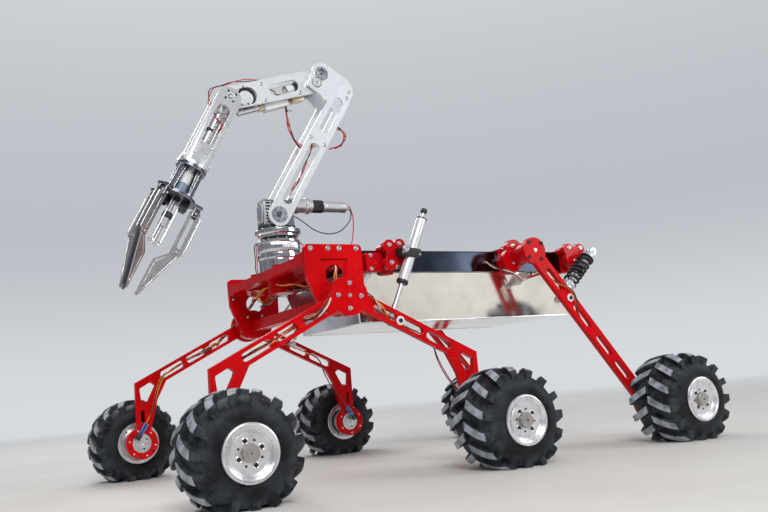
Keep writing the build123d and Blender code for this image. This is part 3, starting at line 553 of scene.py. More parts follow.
def softened(node, finish, width=1.2, edge_finish=None, segments=2):
    """The CAD node's own shape with its sharp edges rounded, in a merged copy that stands for the node."""
    mesh = merged_copy(node)
    mesh.materials.append(finish)
    mesh.shade_smooth()
    mesh.set_sharp_from_angle(angle=radians(35))
    copy = bpy.data.objects.new(f"{node}_finished", mesh)
    bpy.context.scene.collection.objects.link(copy)
    round_edges(copy, width, edge_finish or finish, segments)
    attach(copy, frame["nodes"][node]["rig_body"])
    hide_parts(node)
    return copy


# Wheels

TYRE_OUT = 530.5
TYRE_MIDDLE = 457.5
AXLE_Z = 102
AXLES = {"front": 638, "middle": 0, "rear": -570}
LUGS = 15
LUG_HEIGHT = 14
LUG_LEAN = 0.30
LUG_HOLLOW = 0.4
LUG_UP, LUG_OUT = 0.86, 0.35
TREAD_HALF = 73
SWELL = 4.5
FLAT_LIFT = 0.4
TYRE_HALF = ((0, 106.5), (18, 106.2), (36, 105.2), (50, 102.4), (61, 97), (68.5, 90), (73, 81.5), (75.2, 72.5),
    (75.4, 65), (74, 58.5), (72.8, 54.5), (66, 50.6))


def tyre_piece(phase):
    """Lugged tyre about Y, seen from its middle.

    The section runs from bead to bead as a smooth curve.  Every point of it moves out by the lug height, times a ramp
    round the tyre, which is one on every other half pitch, times a ramp across it, which is one from the middle to the
    shoulder.  The move follows the section's normal, but at least LUG_UP of it goes away from the axle, and only
    LUG_OUT of the normal's sideways part is kept.  Left and right lugs take turns, and both lean ahead with their
    distance from the middle.  Points below the floor lie on it, and the wall beside them swells.  The lug attribute
    fades past the shoulder, so that the lugs' ends stay dark; the tread attribute fades down the wall.
    """
    half = smooth_route(TYRE_HALF, 240)
    run = np.r_[0, np.cumsum(np.linalg.norm(np.diff(half, axis=0), axis=1))]
    stations = np.array((0, 1.5, 3, 4.5, 7, 14, 22, 32, 42, 50, 57, 62, 65, 67, 68.6, 70, 72.5, 75.5, 78, 81.5, 85, 90,
        96, 102, 108, 114, 119))
    stations = np.r_[stations[stations < run[-1]], run[-1]]
    y, r = np.interp(stations, run, half[:, 0]), np.interp(stations, run, half[:, 1])
    slope_y, slope_r = np.gradient(y, stations), np.gradient(r, stations)
    length = np.hypot(slope_y, slope_r)
    out_y, out_r = -slope_r / length, slope_y / length
    across = np.interp(stations, (2, 4.5, 69, 76), (0, 1, 1, 0))
    crown = np.interp(stations, (0, 46, 66), (1, 1.05, 1.3))
    top = np.interp(stations, (63, 67.5), (1, 0))
    tread = np.interp(stations, (60, 96), (1, 0))
    y, out_y = (np.r_[-v[:0:-1], v] for v in (y, out_y))
    r, across, crown, out_r, tread, top = (np.r_[v[:0:-1], v] for v in (r, across, crown, out_r, tread, top))
    side = np.where(np.arange(len(y)) < len(stations) - 1, 0, 1)
    half_pitch = TAU / LUGS / 2
    shares = np.array((-0.1, -0.05, 0.03, 0.14, 0.34, 0.54, 0.75, 0.82))
    round_it = ((np.arange(2 * LUGS)[:, None] + shares[None, :] + 0.05) * half_pitch).ravel()
    place = (round_it[:, None] / half_pitch - side[None, :]) % 2
    ramp = np.interp(place, (0, 0.075, 0.80, 0.87, 2), (0, 1, 1, 0, 0))
    rise = LUG_HEIGHT * ramp * (across * crown)[None, :]
    rise = rise - LUG_HOLLOW * ramp * np.sin(np.pi * np.clip(place, 0, 1)) * across[None, :]
    theta = round_it[:, None] + phase + LUG_LEAN * np.abs(y[None, :]) / TREAD_HALF
    radius = r[None, :] + rise * np.maximum(out_r, LUG_UP)[None, :]
    wide = y[None, :] + rise * out_y[None, :] * LUG_OUT
    points = np.stack((radius * np.sin(theta), wide, radius * np.cos(theta)), axis=-1)
    swell = SWELL * np.exp(-((points[..., 2] + AXLE_Z) / 26) ** 2) * np.exp(-(points[..., 0] / 52) ** 2)
    points[..., 1] += np.sign(points[..., 1]) * swell * (np.abs(points[..., 1]) > 60)
    points[..., 2] = np.maximum(points[..., 2], FLAT_LIFT - AXLE_Z)
    lug = (ramp * (across * top)[None, :]).ravel()
    tread = np.broadcast_to(tread, points.shape[:2]).ravel()
    columns, rows = len(y), len(round_it)
    i = np.arange(rows)[:, None] * columns
    i_next = ((np.arange(rows) + 1) % rows)[:, None] * columns
    j = np.arange(columns)[None, :]
    j_next = (j + 1) % columns
    quads = np.stack((i + j, i_next + j, i_next + j_next, i + j_next), axis=-1).reshape(-1, 4)
    return (points.reshape(-1, 3), quads.tolist()), lug, tread


FACE_CIRCLE = 24.5
RIM_TURNING = ((0.01, -3), (17.6, -3), (17.8, -2), (37, -2), (37.8, -2.8), (38.8, -2.8), (39.8, -2.2), (41, -0.9),
    (43, 0.4), (44, 2.2), (49.2, 5.4), (50.4, 6.5), (53, 6.9), (55.2, 6.1), (56.5, 4.2), (56.5, 0.3), (50, 0.1),
    (50, -146.1), (56, -146.1), (56.4, -149), (55.2, -150.2), (47.6, -150.2), (46, -149), (46, -139), (37.2, -137),
    (37, -134.5), (46, -134), (46, -12), (14, -11), (14, -29.2), (0.01, -29.2))
CAP_TURNING = ((0.01, -3), (17, -3), (17, 5.2), (16.2, 6), (14.4, 6.3), (14, 5.8), (8.6, 5.8), (8.2, 6.3), (2.6, 6.4),
    (2.2, 2.4), (0.01, 2.2))
FACE_TURNING = ((0.01, 0), (26.4, 0), (26.4, 13), (25.4, 14), (20.4, 14), (20, 13.2), (19.2, 13.2), (18.8, 14),
    (12.6, 14), (12.2, 13.2), (11.2, 13.2), (10.8, 14), (5.4, 14.2), (4.8, 13), (3.6, 12.6), (3.4, 8), (0.01, 8))
RING_TURNING = ((26.6, 0), (34.2, 0), (34.2, 16.8), (42.6, 17.2), (42.6, 18.8), (42, 19.4), (27.4, 19.4), (26.6, 18.6))


def radius_of(piece):
    """Distance of each vertex from Z, in metres, for the turned finishes."""
    return {"turned": np.hypot(*piece[0][:, :2].T) / 1000}


def ring_of(piece, radius, height, count, start=0):
    """Copies of a piece on a circle about Z, each turned with its place."""
    angles = start + np.arange(count) * TAU / count
    return joined(*[turned_about(moved(piece, radius, 0, height), a) for a in angles])


def wheel(axle, hand, number):
    """Tyre, rim, cap and screws of one wheel; hand is 1 on the left and -1 on the right."""
    tag = f"{axle}_{'left' if hand > 0 else 'right'}"
    body, hub, axis = f"wheel_{tag}", (AXLES[axle], hand * TYRE_OUT, AXLE_Z), (0, hand, 0)
    (points, quads), lug, tread = tyre_piece(0.11 + number * 0.37)
    points = points * (1, hand, 1) + (AXLES[axle], hand * TYRE_MIDDLE, AXLE_Z)
    build(f"tyre_tread_{tag}", (points, quads), TYRE, body, [f"tyre_{tag}"], "tyre", 42, {"lug": lug, "tread": tread})
    rim, cap = turning(RIM_TURNING, 72), turning(CAP_TURNING)
    build(f"rim_turned_{tag}", towards(rim, hub, axis), RIM, body, [f"rim_{tag}"], "rim_aluminium", 30, radius_of(rim))
    build(f"hub_cap_{tag}", towards(cap, hub, axis), CAP, body, smooth=30, attributes=radius_of(cap))
    turn = 0.4 + number * 0.9
    place = (FACE_CIRCLE, -2.1, 4)
    big = ring_of(socket_screw(4.4, 1.6, 5.6), *place, turn)
    small = ring_of(lathe(((2.5, 0), (2.5, 0.5), (2.1, 0.7), (0.01, 0.7)), 16), *place, turn + pi / 4)
    build(f"wheel_screws_{tag}", towards(joined(big, small), hub, axis), BLACK_SCREWS_AND_SHADE, body)
    collars = ring_of(lathe(((4.5, 0), (4.5, 1.5), (5.4, 1.9), (6.4, 1.4), (6.6, 0)), 24), *place, turn)
    rim_screws = ring_of(socket_screw(1.9, 1.5), 46.6, 3.7, 8, turn)
    inner = ring_of(socket_screw(2.6, 1.8), 42, 138, 6, turn)
    outer = towards(joined(collars, rim_screws), hub, axis)
    build(f"wheel_collars_{tag}", joined(outer, towards(inner, hub, (0, -hand, 0))), SCREW, body)


for number, (axle, hand) in enumerate((a, h) for a in AXLES for h in (1, -1)):
    wheel(axle, hand, number)


# What carries the wheels: red ring covers, motor faces, plugs and wires on the inner side of each leg

MOTOR_END = 353.2
COVER_CIRCLE = (35.2, 19.3, 6)


def leg_end(axle, turn):
    """Ring cover, motor face and screws seen from the machine's middle, drawn about Z from the motor's inner end."""
    def add(name, piece, finish, smooth=38, attributes=None):
        piece = on_both_sides(towards(piece, (AXLES[axle], MOTOR_END, AXLE_Z), (0, -1, 0)))
        build(f"{name}_{axle}", piece, finish, smooth=smooth, attributes=attributes)

    add("ring_cover", lathe(RING_TURNING, 64, True), RED, 30)
    face = turning(FACE_TURNING, 64)
    add("motor_face", face, RIM, 30, {"turned": np.tile(radius_of(face)["turned"], 2)})
    add("ring_screws", ring_of(button_screw(3, 2.2), *COVER_CIRCLE, turn), SCREW)
    dark = ring_of(socket_screw(2.7, 2), *COVER_CIRCLE, turn + pi / 6)
    # Three dark slot shapes on the motor face: painted shade in its slots.
    slot = prism(round_outline(((13.4, -2.2), (18.2, -2.2), (18.2, 2.2), (13.4, 2.2)), 1.6), 13.6, 14.4, 0.2)
    add("ring_screws_dark", joined(dark, *[turned_about(slot, a) for a in (0.9, 2.5, 4.4)]), BLACK_SCREWS_AND_SHADE)


for number, axle in enumerate(AXLES):
    leg_end(axle, 0.2 + 0.3 * number)


# Plates, castings and housings: CAD shapes with rounded edges

LEG_OUT = 351
PLATE_OUT = 281
PLATE_IN = 268.9
CLAMP_OUT = 283.5
STRUT_Y = 300

# The red parts' bevels take the lighter edge finish, which is in part a painted highlight.
for kind in ("rocker_front_leg", "rocker_middle_leg", "rear_leg", "side_plate"):
    for side in ("left", "right"):
        softened(f"{kind}_{side}", RED, 1.3, RED_EDGE_WEAR_AND_HIGHLIGHT)
for node in ("crossmember", "pivot_beam", "rocker_hubs"):
    softened(node, RED, 1.6, RED_EDGE_WEAR_AND_HIGHLIGHT)
for node in ("rear_pivot_clamps", "rear_end_clamps", "middle_clamps"):
    softened(node, RED_CAST, 2.2, RED_EDGE_WEAR_AND_HIGHLIGHT, 3)
for node, finish, edge in (("upper_arm", ARM, BRIGHT), ("forearm", FORE, BRIGHT), ("wrist_link", TOOL, BRIGHT),
        ("chassis_rails", RAIL, BLACK), ("hopper", MIRROR, BRIGHT), ("shoulder_gearbox", GEAR, STEEL),
        ("forearm_drive", GEAR, STEEL)):
    softened(node, finish, 0.8, edge)


def upright(piece):
    """A piece drawn in (x, z) with its height along y, stood up in the machine's axes."""
    return piece[0][:, (0, 2, 1)], piece[1]


def standing(outline, low, high, edge):
    """Flat piece drawn in (x, z) from one y to another, on both sides."""
    return on_both_sides(upright(prism(outline, low, high, edge)))


def bolt(head_r, head_h, washer_r, socket=None):
    """Cap screw head on a washer."""
    washer = lathe(((washer_r, 0), (washer_r, 0.9), (washer_r - 0.4, 1.3), (head_r * 0.6, 1.3)), 24)
    return joined(washer, moved(socket_screw(head_r, head_h, socket), z=1.25))


def bolts(points, y, piece):
    """A bolt at each (x, z) on a face at y, pointing outwards, on both sides; each is turned a little further."""
    return on_both_sides(*[towards(piece, (x, y, z), (0, 1, 0), 0.3 + 0.7 * i) for i, (x, z) in enumerate(points)])


PIVOT = (319, 410.5)
HUB_CROSS = [(PIVOT[0] + 29 * cos(a), PIVOT[1] + 29 * sin(a)) for a in (0.05, 1.62, 3.19, 4.76)]
for name, finish, *groups in (
        ("plate_bolts", SCREW, (((377, 532), (332, 532), (303, 532), (258, 532)), PLATE_OUT, bolt(5, 4.2, 6.6))),
        ("hub_bolts", SCREW, (HUB_CROSS, LEG_OUT, bolt(4.6, 3.6, 5.8)), ((PIVOT,), LEG_OUT, bolt(3.4, 2.4, 5))),
        ("rear_head_bolts", BLACK_SCREWS_AND_SHADE,
         (((-215, 540), (-255, 537), (-212, 501), (-251, 496)), LEG_OUT, socket_screw(4.6, 3.6, 5.6))),
        ("rear_head_centre", SCREW, (((-233, 519),), LEG_OUT, bolt(3.6, 2.4, 5.4)),
         (((-217, 543), (-216, 499)), 280, bolt(4.6, 3.6, 6.2))),
        ("clamp_bolts", SCREW, (((-418, 541), (-459, 541), (-437, 505)), 276, bolt(4.8, 3.8, 6)),
         (((166, 542), (138, 545), (163, 498)), CLAMP_OUT, bolt(4.6, 3.6, 6)),
         (((148, 486),), CLAMP_OUT, lathe(((3.2, 0), (4.8, 0), (4.8, 1.2), (3.2, 1.2)), 24, True))),
        # Dark discs on the plates: painted shade that stands for small holes.
        ("small_holes", BLACK_SCREWS_AND_SHADE, (((378, 488), (259, 488)), PLATE_OUT - 0.9,
                                      lathe(((2.1, 0), (2.1, 1), (1.8, 1.05), (0.01, 1.05)), 16)))):
    build(name, joined(*[bolts(*group) for group in groups]), finish)
inner_bolts = [towards(button_screw(4.2, 3), (x, PLATE_IN, z), (0, -1, 0))
               for x, z in ((381, 485), (263, 486), (340, 432), (297, 435))]
build("plate_inner_bolts", on_both_sides(*inner_bolts), SCREW)
bracket = round_outline(((172, 480), (216, 480), (220, 527), (172, 527)), 6)
brace = round_outline(((204, 470), (230, 441), (236, 445), (210, 474)), 2)
lip = ((-494, 533.4), (262, 533.4), (262, 536.6), (-494, 536.6))
build("rail_brackets", standing(bracket, 229.5, 256, 1.6), RED_CAST)
build("rail_bolts", joined(bolts(((206, 487), (206, 520)), 256, bolt(3.8, 3, 5)),
                           bolts(((229, 507),), 230, bolt(4.4, 3.4, 6.4))), SCREW)
build("rail_braces", standing(brace, 246, 250, 0.8), STEEL)
build("rail_lips", standing(lip, 204.4, 231, 0.7), BLACK)


def hopper_edges():
    """Bright folded strips on the hopper's lower edges and front corners: a bar from one corner to the next."""
    front_top, front_low, back_low = (236, 215, 481), (207, 176, 362), (-470, 176, 362)
    ends = [[np.array(p) * (1, hand, 1) for p in pair] for hand in (1, -1)
            for pair in ((front_low, back_low), (front_top, front_low))]
    ends.append((front_low, (207, -176, 362)))
    return joined(*[bar(start, end, 1.7, aside=(0.1, 0.3, 1)) for start, end in ends])


def hopper_front():
    """Bright front panel, tinted darker and bluer than the hopper's sheet as painted shade and reflection: a trapezium
    drawn in (y, down the slope), whose slope falls 119 mm while it goes 29 back.
    """
    panel, faces = prism(((-213, -58), (213, -58), (174.5, 61), (-174.5, 61)), 0, 1.4, 0.4)
    slope = np.array((-29, 0, -119)) / np.hypot(29, 119)
    return panel @ np.array(((0, 1, 0), slope, (-slope[2], 0, slope[0]))) + (221.7, 0, 421.5), faces


build("hopper_edges", hopper_edges(), BRIGHT)
build("hopper_front", hopper_front(), FRONT_PAINTED_REFLECTION)


# Struts

DAMPER = np.array(((76, STRUT_Y, 606), (192, STRUT_Y, 350)))
SHOCK = np.array(((-476, STRUT_Y, 524), (-334, STRUT_Y, 392)))


def along(strut, *pieces):
    """Pieces drawn downwards from a strut's top along Z, in place on both sides."""
    return on_both_sides(towards(joined(*pieces), strut[0], strut[1] - strut[0]))


tube_shape = ((9, 1.2), (12.2, 1.6), (12.9, 3), (12.9, 171), (9, 171.4))
rod_shape = ((3.6, -14), (5, -13.6), (5, 2), (4, 2.2), (4, 178), (6.4, 178.2), (6.4, 236), (8.2, 237), (8.2, 250),
    (6.8, 252), (5.8, 266), (3, 268))
build("damper_tubes", along(DAMPER, turning(tube_shape)), TUBE, replaces=["dampers"], slot="strut_silver")
build("damper_rods", along(DAMPER, turning(rod_shape, 32)), STEEL)
build("damper_rings", along(
    DAMPER, lathe(((2, -27), (6.4, -26.6), (8.2, -24.4), (8.4, -17.5), (6.6, -14.2), (2, -13.8)), 32),
    lathe(((8, -0.4), (12.4, -0.2), (13.6, 0.8), (13.6, 2.8), (8, 3)), 40),
    lathe(((5, 170.6), (14.2, 170.8), (14.6, 172), (14.6, 177.6), (13.4, 178.8), (5, 179)), 40)), SATIN)
ball = lathe(((2, -9.6), (5.4, -9.4), (5.6, -7), (8, -5.6), (9.4, -3), (9.8, 0), (9.4, 3), (8, 5.6), (5.6, 7),
              (5.6, 35.8), (2, 35.9)), 32)
build("strut_balls", on_both_sides(*[towards(ball, strut[1], (0, 1, 0)) for strut in (DAMPER, SHOCK)]), STEEL)
ends = ((193, 348.5), (-334, 391))
washer = lathe(((4.6, 0), (10.6, 0), (11, 0.6), (10.4, 2), (6.6, 2.4), (6.2, 1.4), (4.6, 1.4)), 32, True)
build("strut_washers", bolts(ends, LEG_OUT, washer), WHITE)
strut_bolt = joined(lathe(((0.01, 0.2), (5.8, 0.2), (5.8, 1.2), (0.01, 1.2)), 24),
    moved(socket_screw(4.6, 3.6, 5.6), z=1.1))
build("strut_bolts", bolts(ends, LEG_OUT, strut_bolt), BLACK_SCREWS_AND_SHADE)

clamp = round_outline(((96, 507), (108, 504), (152, 512), (152, 531), (144, 532), (96, 525)), 3)
build("damper_blocks", standing(clamp, 283.6, 317, 1.4), SATIN, replaces=["damper_clamps"], slot="black_anodised")
build("damper_block_bolts", bolts(((139.5, 526),), 316.8, bolt(7, 5, 9)), SCREW)
build("damper_block_screws", bolts(((102, 512), (149, 517)), 316.9, socket_screw(2.6, 1.8)), SCREW)


def spring():
    """Coil about Z: a wire whose centre turns at a steady radius while it climbs, its turns closer together in the
    middle than at both ends.
    """
    share = np.linspace(0, 1, 230)
    climb = 30 + 100 * (share + 0.035 * np.sin(TAU * share))
    turn = TAU * 6.2 * share
    return np.c_[17.9 * np.cos(turn), 17.9 * np.sin(turn), climb]


build("shock_springs", along(SHOCK, tube(spring(), 3.5, 10, (0, 0, 1))), SATIN, "root", ["shocks"], "black_spring", 50)
shock_shape = ((4, 8), (12.4, 8.2), (16.4, 12), (17.4, 14), (17.4, 25), (12.6, 27), (12.6, 92), (9.4, 94), (9.4, 130),
    (19.4, 131), (20.8, 132.4), (20.8, 138), (17.4, 139.6), (17.4, 147), (19, 148.6), (19, 163), (16, 167), (12, 176),
    (9, 184), (4, 185))
build("shock_bodies", along(SHOCK, turning(shock_shape, 40)), SILVER)
build("shock_seats", along(SHOCK, lathe(((12.7, 25.6), (21, 25.8), (21.6, 26.6), (21.2, 28.6), (12.7, 29)), 40, True),
                           lathe(((12.7, 70), (13.6, 70.4), (13.6, 88), (12.7, 88.4)), 32, True)), SATIN)
eye = lathe(((3, -23.8), (8, -23.6), (8, -10.4), (11.2, -9.6), (12, -8), (12, 8), (11.2, 9.6), (3, 9.8)), 40)
build("shock_eyes", on_both_sides(towards(eye, SHOCK[0], (0, 1, 0))), SILVER)
build("shock_eye_bolts", on_both_sides(towards(bolt(5.4, 4, 7.6), SHOCK[0] + (0, 9.8, 0), (0, 1, 0))), SCREW)


# Wires along the legs and through the side plates

def strand(points, number, radius, spread, count=90):
    """One wire of a bundle: the shared route moved aside by slow sines, other ones for each wire, gone at the ends."""
    route = smooth_route(points, count)
    share = np.linspace(0, 1, count)[:, None]
    wave = np.array((3.1, 4.3, 5.2)) * (1 + 0.13 * number)
    fade = np.minimum(1, 9 * np.minimum(share, 1.02 - share))
    return tube(route + fade * spread * np.sin(wave * TAU * share / 2 + number * np.array((2.1, 1.3, 3.7))), radius, 8)


def bundle(name, points, colours, radius, spread, body="root", both=True, replaces=(), slot=None, count=90):
    """One piece for each wire of a bundle; the first stands for the CAD node."""
    for number, colour in enumerate(colours):
        stands_for = (replaces, slot) if number == 0 else ((), None)
        piece = strand(points, number, radius, spread, count)
        piece = on_both_sides(piece) if both else piece
        build(f"{name}_{colour}_{number}", piece, WIRE[colour], body, *stands_for, 60)


def on_rear(along, across, y):
    """Point on the rear leg: along it from its head, across towards its upper edge."""
    return -227 - 0.6266 * along - 0.7793 * across, y, 518 - 0.7793 * along + 0.6266 * across


PORT_WIRES = ((300, 226, 492), (306, 256, 490), (312, 280, 483), (318, 285, 470), (331, 300, 451), (347, 318, 432),
    (360, 335, 416), (373, 350, 399), (385, 357, 385), (397, 357, 374), (409, 354, 364))
DOWN_LEG = ((425, 338, 362), (440, 328, 351), (461, 331, 341), (479, 342, 332), (495, 352, 324), (510, 356, 316),
    (525, 350, 309), (541, 342, 301), (557, 332, 294), (573, 327, 285), (586, 327, 266), (596, 327, 238),
    (603, 327, 212), (611, 327, 186), (620, 327, 167), (629, 325, 154))
MIDDLE_PORT = ((262, 281.2, 441), (266, 292, 437), (268, 325, 424), (266, 345, 412), (261, 357, 402), (252, 358, 390),
    (243, 357, 378), (234, 352, 370), (224, 345, 364))
ARC_LEAD = ((212, 338, 356), (192, 328, 345), (160, 327, 331), (128, 327, 318), (104, 325, 304), (91, 325, 284),
    (84, 325, 259), (72, 325, 231), (55, 325, 202), (37, 325, 180), (22, 325, 160), (12, 325, 146))
REAR_PORT = ((-150, 230.2, 505), (-148, 250, 502), (-149, 276, 490), (-160, 300, 473), (-182, 320, 459),
    (-213, 325, 450), on_rear(72, -4, 328), on_rear(92, -2, 339), on_rear(112, 0, 349), on_rear(132, 9, 356),
    on_rear(160, 16, 357), on_rear(188, 8, 354), on_rear(206, 0, 345), on_rear(234, 0, 338), on_rear(262, 0, 328),
    on_rear(300, 4, 327), on_rear(400, 2, 327), on_rear(452, 0, 327), on_rear(482, 4, 325))
bundle("hub_wires", PORT_WIRES + DOWN_LEG, ("orange", "red", "black", "yellow"), 1.4, 2.6, replaces=["hub_harness"],
       slot="wire_sleeve", count=170)
bundle("hub_wires_short", PORT_WIRES + DOWN_LEG[:4], ("white", "red", "black", "orange"), 1.5, 4.4)
bundle("middle_wires", MIDDLE_PORT + ARC_LEAD, ("black", "red"), 1.3, 1.6, replaces=["middle_harness"],
    slot="wire_sleeve", count=120)
bundle("middle_wires_pale", MIDDLE_PORT + ARC_LEAD[:4], ("yellow", "white"), 1.3, 2.8)
bundle("rear_wires", REAR_PORT, ("black", "orange", "red"), 1.3, 2, replaces=["rear_harness"], slot="wire_sleeve",
    count=150)
bundle("rear_wires_pale", REAR_PORT[:8], ("white",), 1.2, 3)


PLUG_Y = 329


def plugs(name, top, foot, aside):
    """Two sleeves side by side on the inner face of a leg, each ending in a black plug over the motor's edge."""
    top, foot, aside = (np.array((p[0], 0, p[1])) for p in (top, foot, aside))
    for kind, finish, shape in (
            ("sleeves", WIRE["blue"], lathe(((1.4, 0), (2.3, 1), (2.5, 3), (2.5, 32), (2, 33)), 16)),
            ("plugs", SATIN, block((-2.6, 2.6), (-3.2, 3.2), (32, 50), 0.7))):
        pair = [towards(shape, top + aside * share + (0, PLUG_Y, 0), foot - top) for share in (0, 1)]
        build(f"{name}_{kind}", on_both_sides(*pair), finish)


plugs("front", (629, 156), (648, 128), (-7, -4))
plugs("middle", (10, 150), (-9, 122), (7, -4))
plugs("rear", (-531, 138), (-552, 116), (-5, 6))
under = ((300, 150, 500), (318, 158, 470), (342, 150, 462), (365, 120, 470), (372, 60, 478), (360, 20, 486))
bundle("crossmember_wires", under, ("yellow", "orange"), 1.5, 2)
across = ((297, 262, 458), (318, 200, 452), (330, 120, 455), (334, 60, 462), (338, 20, 470))
bundle("deck_wires", across, ("red", "black", "grey"), 1.5, 4)


# Turret, shoulder drive and its wires

TURRET_X = 340
BASE_TURNING = ((10, 519.9), (55.4, 519.9), (55.4, 520.8), (53.6, 521.6), (53.6, 550), (53, 551.4), (56.2, 552.4),
    (57, 554), (57, 564), (56.2, 565.6), (54, 566.2), (54, 568.6), (53, 569.4), (53, 593.8), (57.2, 594.2),
    (57.6, 595.4), (57.6, 599.4), (56.4, 601.2), (10, 601.8))
FLANGE_TURNING = ((10, 602.5), (45.4, 602.6), (45.6, 609.6), (52.4, 610), (53.6, 611.2), (53.6, 616.4), (56, 617.2),
    (59.8, 618.4), (60.4, 619.8), (60.4, 628.4), (59.4, 630.6), (56.8, 631.5), (10, 631.7))
FLUTES_TURNING = ((52.6, 569.6), (55.2, 569.8), (56.2, 574), (56.8, 581.6), (56.2, 589), (55.2, 593.4), (52.6, 593.6))
groove = lathe(((45.7, 603.2), (46.6, 603.2), (46.6, 609.4), (45.7, 609.4)), 96, True)
studs = ring_of(towards(button_screw(2, 1.6), (0, 0, 0), (1, 0, 0)), 46.6, 606.3, 12, 0.1)
caps = ring_of(socket_screw(3.2, 2.6), 53.5, 631.4, 8, 0.35)
for name, piece, *rest in (
        ("turret_rings", turning(BASE_TURNING, 96), POLISHED, "root", ["turret_base"], "polished_turret", 30),
        ("turret_bulge", lathe(FLUTES_TURNING, 480, False, 80, 0.7), POLISHED, "root", (), None, 50),
        ("turret_flange_rings", turning(FLANGE_TURNING, 96), POLISHED, "turret", ["turret_flange"],
         "polished_turret", 30),
        ("turret_groove", groove, SATIN, "turret"), ("turret_studs", joined(studs, caps), SCREW, "turret")):
    build(name, moved(piece, x=TURRET_X), *rest)


def turret_wire(number):
    """Wire down the turret's right front, whose distance from the turret's axis follows the rings."""
    across, back = 0.869, -0.495
    reach = 59.4 + 2.6 * number
    down = [(TURRET_X + across * r + 2 * number, back * r, z) for r, z in
            ((52, 601), (reach, 597), (reach + 1, 580), (reach, 556), (reach + 1, 535), (reach - 2, 518))]
    return tube(smooth_route(down, 40), 1.3, 8)


for number, colour in enumerate(("red", "black")):
    build(f"turret_wire_{colour}", turret_wire(number), WIRE[colour], smooth=60)

fins = [block((368, 380), (23.6, 25.8), (z, z + 4.2), 0.5) for z in np.arange(648, 704, 8.6)]
side_face = block((364, 385.6), (23.8, 24.8), (646, 706), 0.4)
plate_screws = [towards(socket_screw(2.6, 2), (388.2, y, z), (1, 0, 0)) for y in (-14, 14) for z in (656, 698)]
for name, piece, finish in (
        ("gearbox_fins", on_both_sides(*fins), SATIN),
        ("gearbox_faces", joined(block((385.4, 388.4), (-19, 19), (650, 704)), on_both_sides(side_face)), STEEL),
        ("gearbox_trim", joined(block((302, 384), (-22, 22), (707.6, 711)),
                                block((299.4, 386.8), (-25.4, 25.4), (632, 643))), SATIN),
        ("gearbox_screws", joined(*plate_screws), SCREW)):
    build(name, piece, finish, "turret")

MOTOR_AXIS = (300, 0, 702)
gearhead = ((6, 0), (21.2, 0.2), (22.2, 1.4), (22.2, 20), (19.4, 22), (19.4, 40), (21.4, 42), (22.6, 44), (22.6, 51),
    (21.4, 53), (18.6, 55), (18.6, 61.6), (6, 61.8))
can = ((6, 94), (15.6, 94.2), (16.2, 95.4), (16.2, 103), (15.5, 104), (15.5, 158), (15.9, 159), (15.9, 163),
    (14.4, 165.6), (9, 166.4), (8.6, 169.4), (3, 169.6))
band = ((6, 61.6), (17, 61.8), (17.6, 63), (17.6, 93), (17, 94.2), (6, 94.4))
for name, piece, finish, *rest in (
        ("shoulder_gearhead", turning(gearhead), MOTOR, ["shoulder_motor"], "motor_steel"),
        ("shoulder_can", turning(can), MOTOR), ("shoulder_band", turning(band, 192, False, 48, 0.5), SATIN),
        ("shoulder_gearhead_screws", ring_of(socket_screw(2.2, 2), 18, 53.2, 6, 0.2), SCREW)):
    build(name, towards(piece, MOTOR_AXIS, (-1, 0, 0)), finish, "turret", *rest)
BLACK_LEAD = ((299.7, 0, 672), (284, 0, 670), (262, 0, 656), (236, 0, 638), (208, 0, 628), (180, 0, 627),
    (154, 0, 635), (134, 0, 651), (121, 0, 668), (117, 0, 684), (121, 0, 696), (131.6, 0, 699))
RED_LEAD = ((131, 0, 708), (122, 0, 706), (115, 0, 692), (111, 0, 665), (115, 0, 630), (121, 0, 604), (134, 0, 578),
    (165, 0, 566), (215, -2, 572), (262, -6, 592), (284, -10, 612), (291, -14, 622))
for name, route, radius, colour, *rest in (
        ("shoulder_lead_black", BLACK_LEAD, 1.5, "black", ["shoulder_lead"], "wire_sleeve"),
        ("shoulder_lead_red", RED_LEAD, 1.6, "red", (), None)):
    build(name, tube(smooth_route(route, 90), radius, 8), WIRE[colour], "turret", *rest, 60)


# Arm

ELBOW = np.array((192, 0, 1078))
WRIST = np.array((460, 0, 986))
SHOULDER = np.array((346, 0, 668))
FORE_ALONG, FORE_ABOVE = np.array((0.9458, 0, -0.3247)), np.array((0.3247, 0, 0.9458))
TOOL_ALONG, TOOL_ASIDE = np.array((0.4741, 0, -0.8805)), np.array((0.8805, 0, 0.4741))
SIDEWAYS = np.array((0, 1, 0))


def on_forearm(piece):
    """A piece drawn in (along, above, y) from the elbow."""
    v = piece[0]
    return ELBOW + v[:, :1] * FORE_ALONG + v[:, 1:2] * FORE_ABOVE + v[:, 2:] * SIDEWAYS, piece[1]


def on_tool(*pieces):
    """Pieces drawn in (aside, y, along) from the wrist, along the tool."""
    v, faces = joined(*pieces)
    return WRIST + v[:, :1] * TOOL_ASIDE + v[:, 1:2] * SIDEWAYS + v[:, 2:] * TOOL_ALONG, faces


def arc_band(inner, outer, start, end, low, high):
    """Flat curved bar: two arcs about Z joined at their ends, between two heights."""
    angles = np.linspace(start, end, 22)
    near, far = np.c_[np.cos(angles), np.sin(angles)] * inner, np.c_[np.cos(angles), np.sin(angles)] * outer
    return prism(np.r_[far, near[::-1]], low, high, 0.2)


def dots(radius, circle, count, start=0, high=0.5):
    """Short dark studs on a circle about Z: painted shade that reads as holes."""
    stud = lathe(((radius, -0.4), (radius, high), (radius - 0.3, high + 0.1), (0.01, high + 0.1)), 16)
    return ring_of(stud, circle, 0, count, start)


def facing(place, *pieces):
    """Pieces drawn about Z, on both outer faces of the arm; the place is (x, y, z) on the left face."""
    return on_both_sides(towards(joined(*pieces), place, (0, 1, 0)))


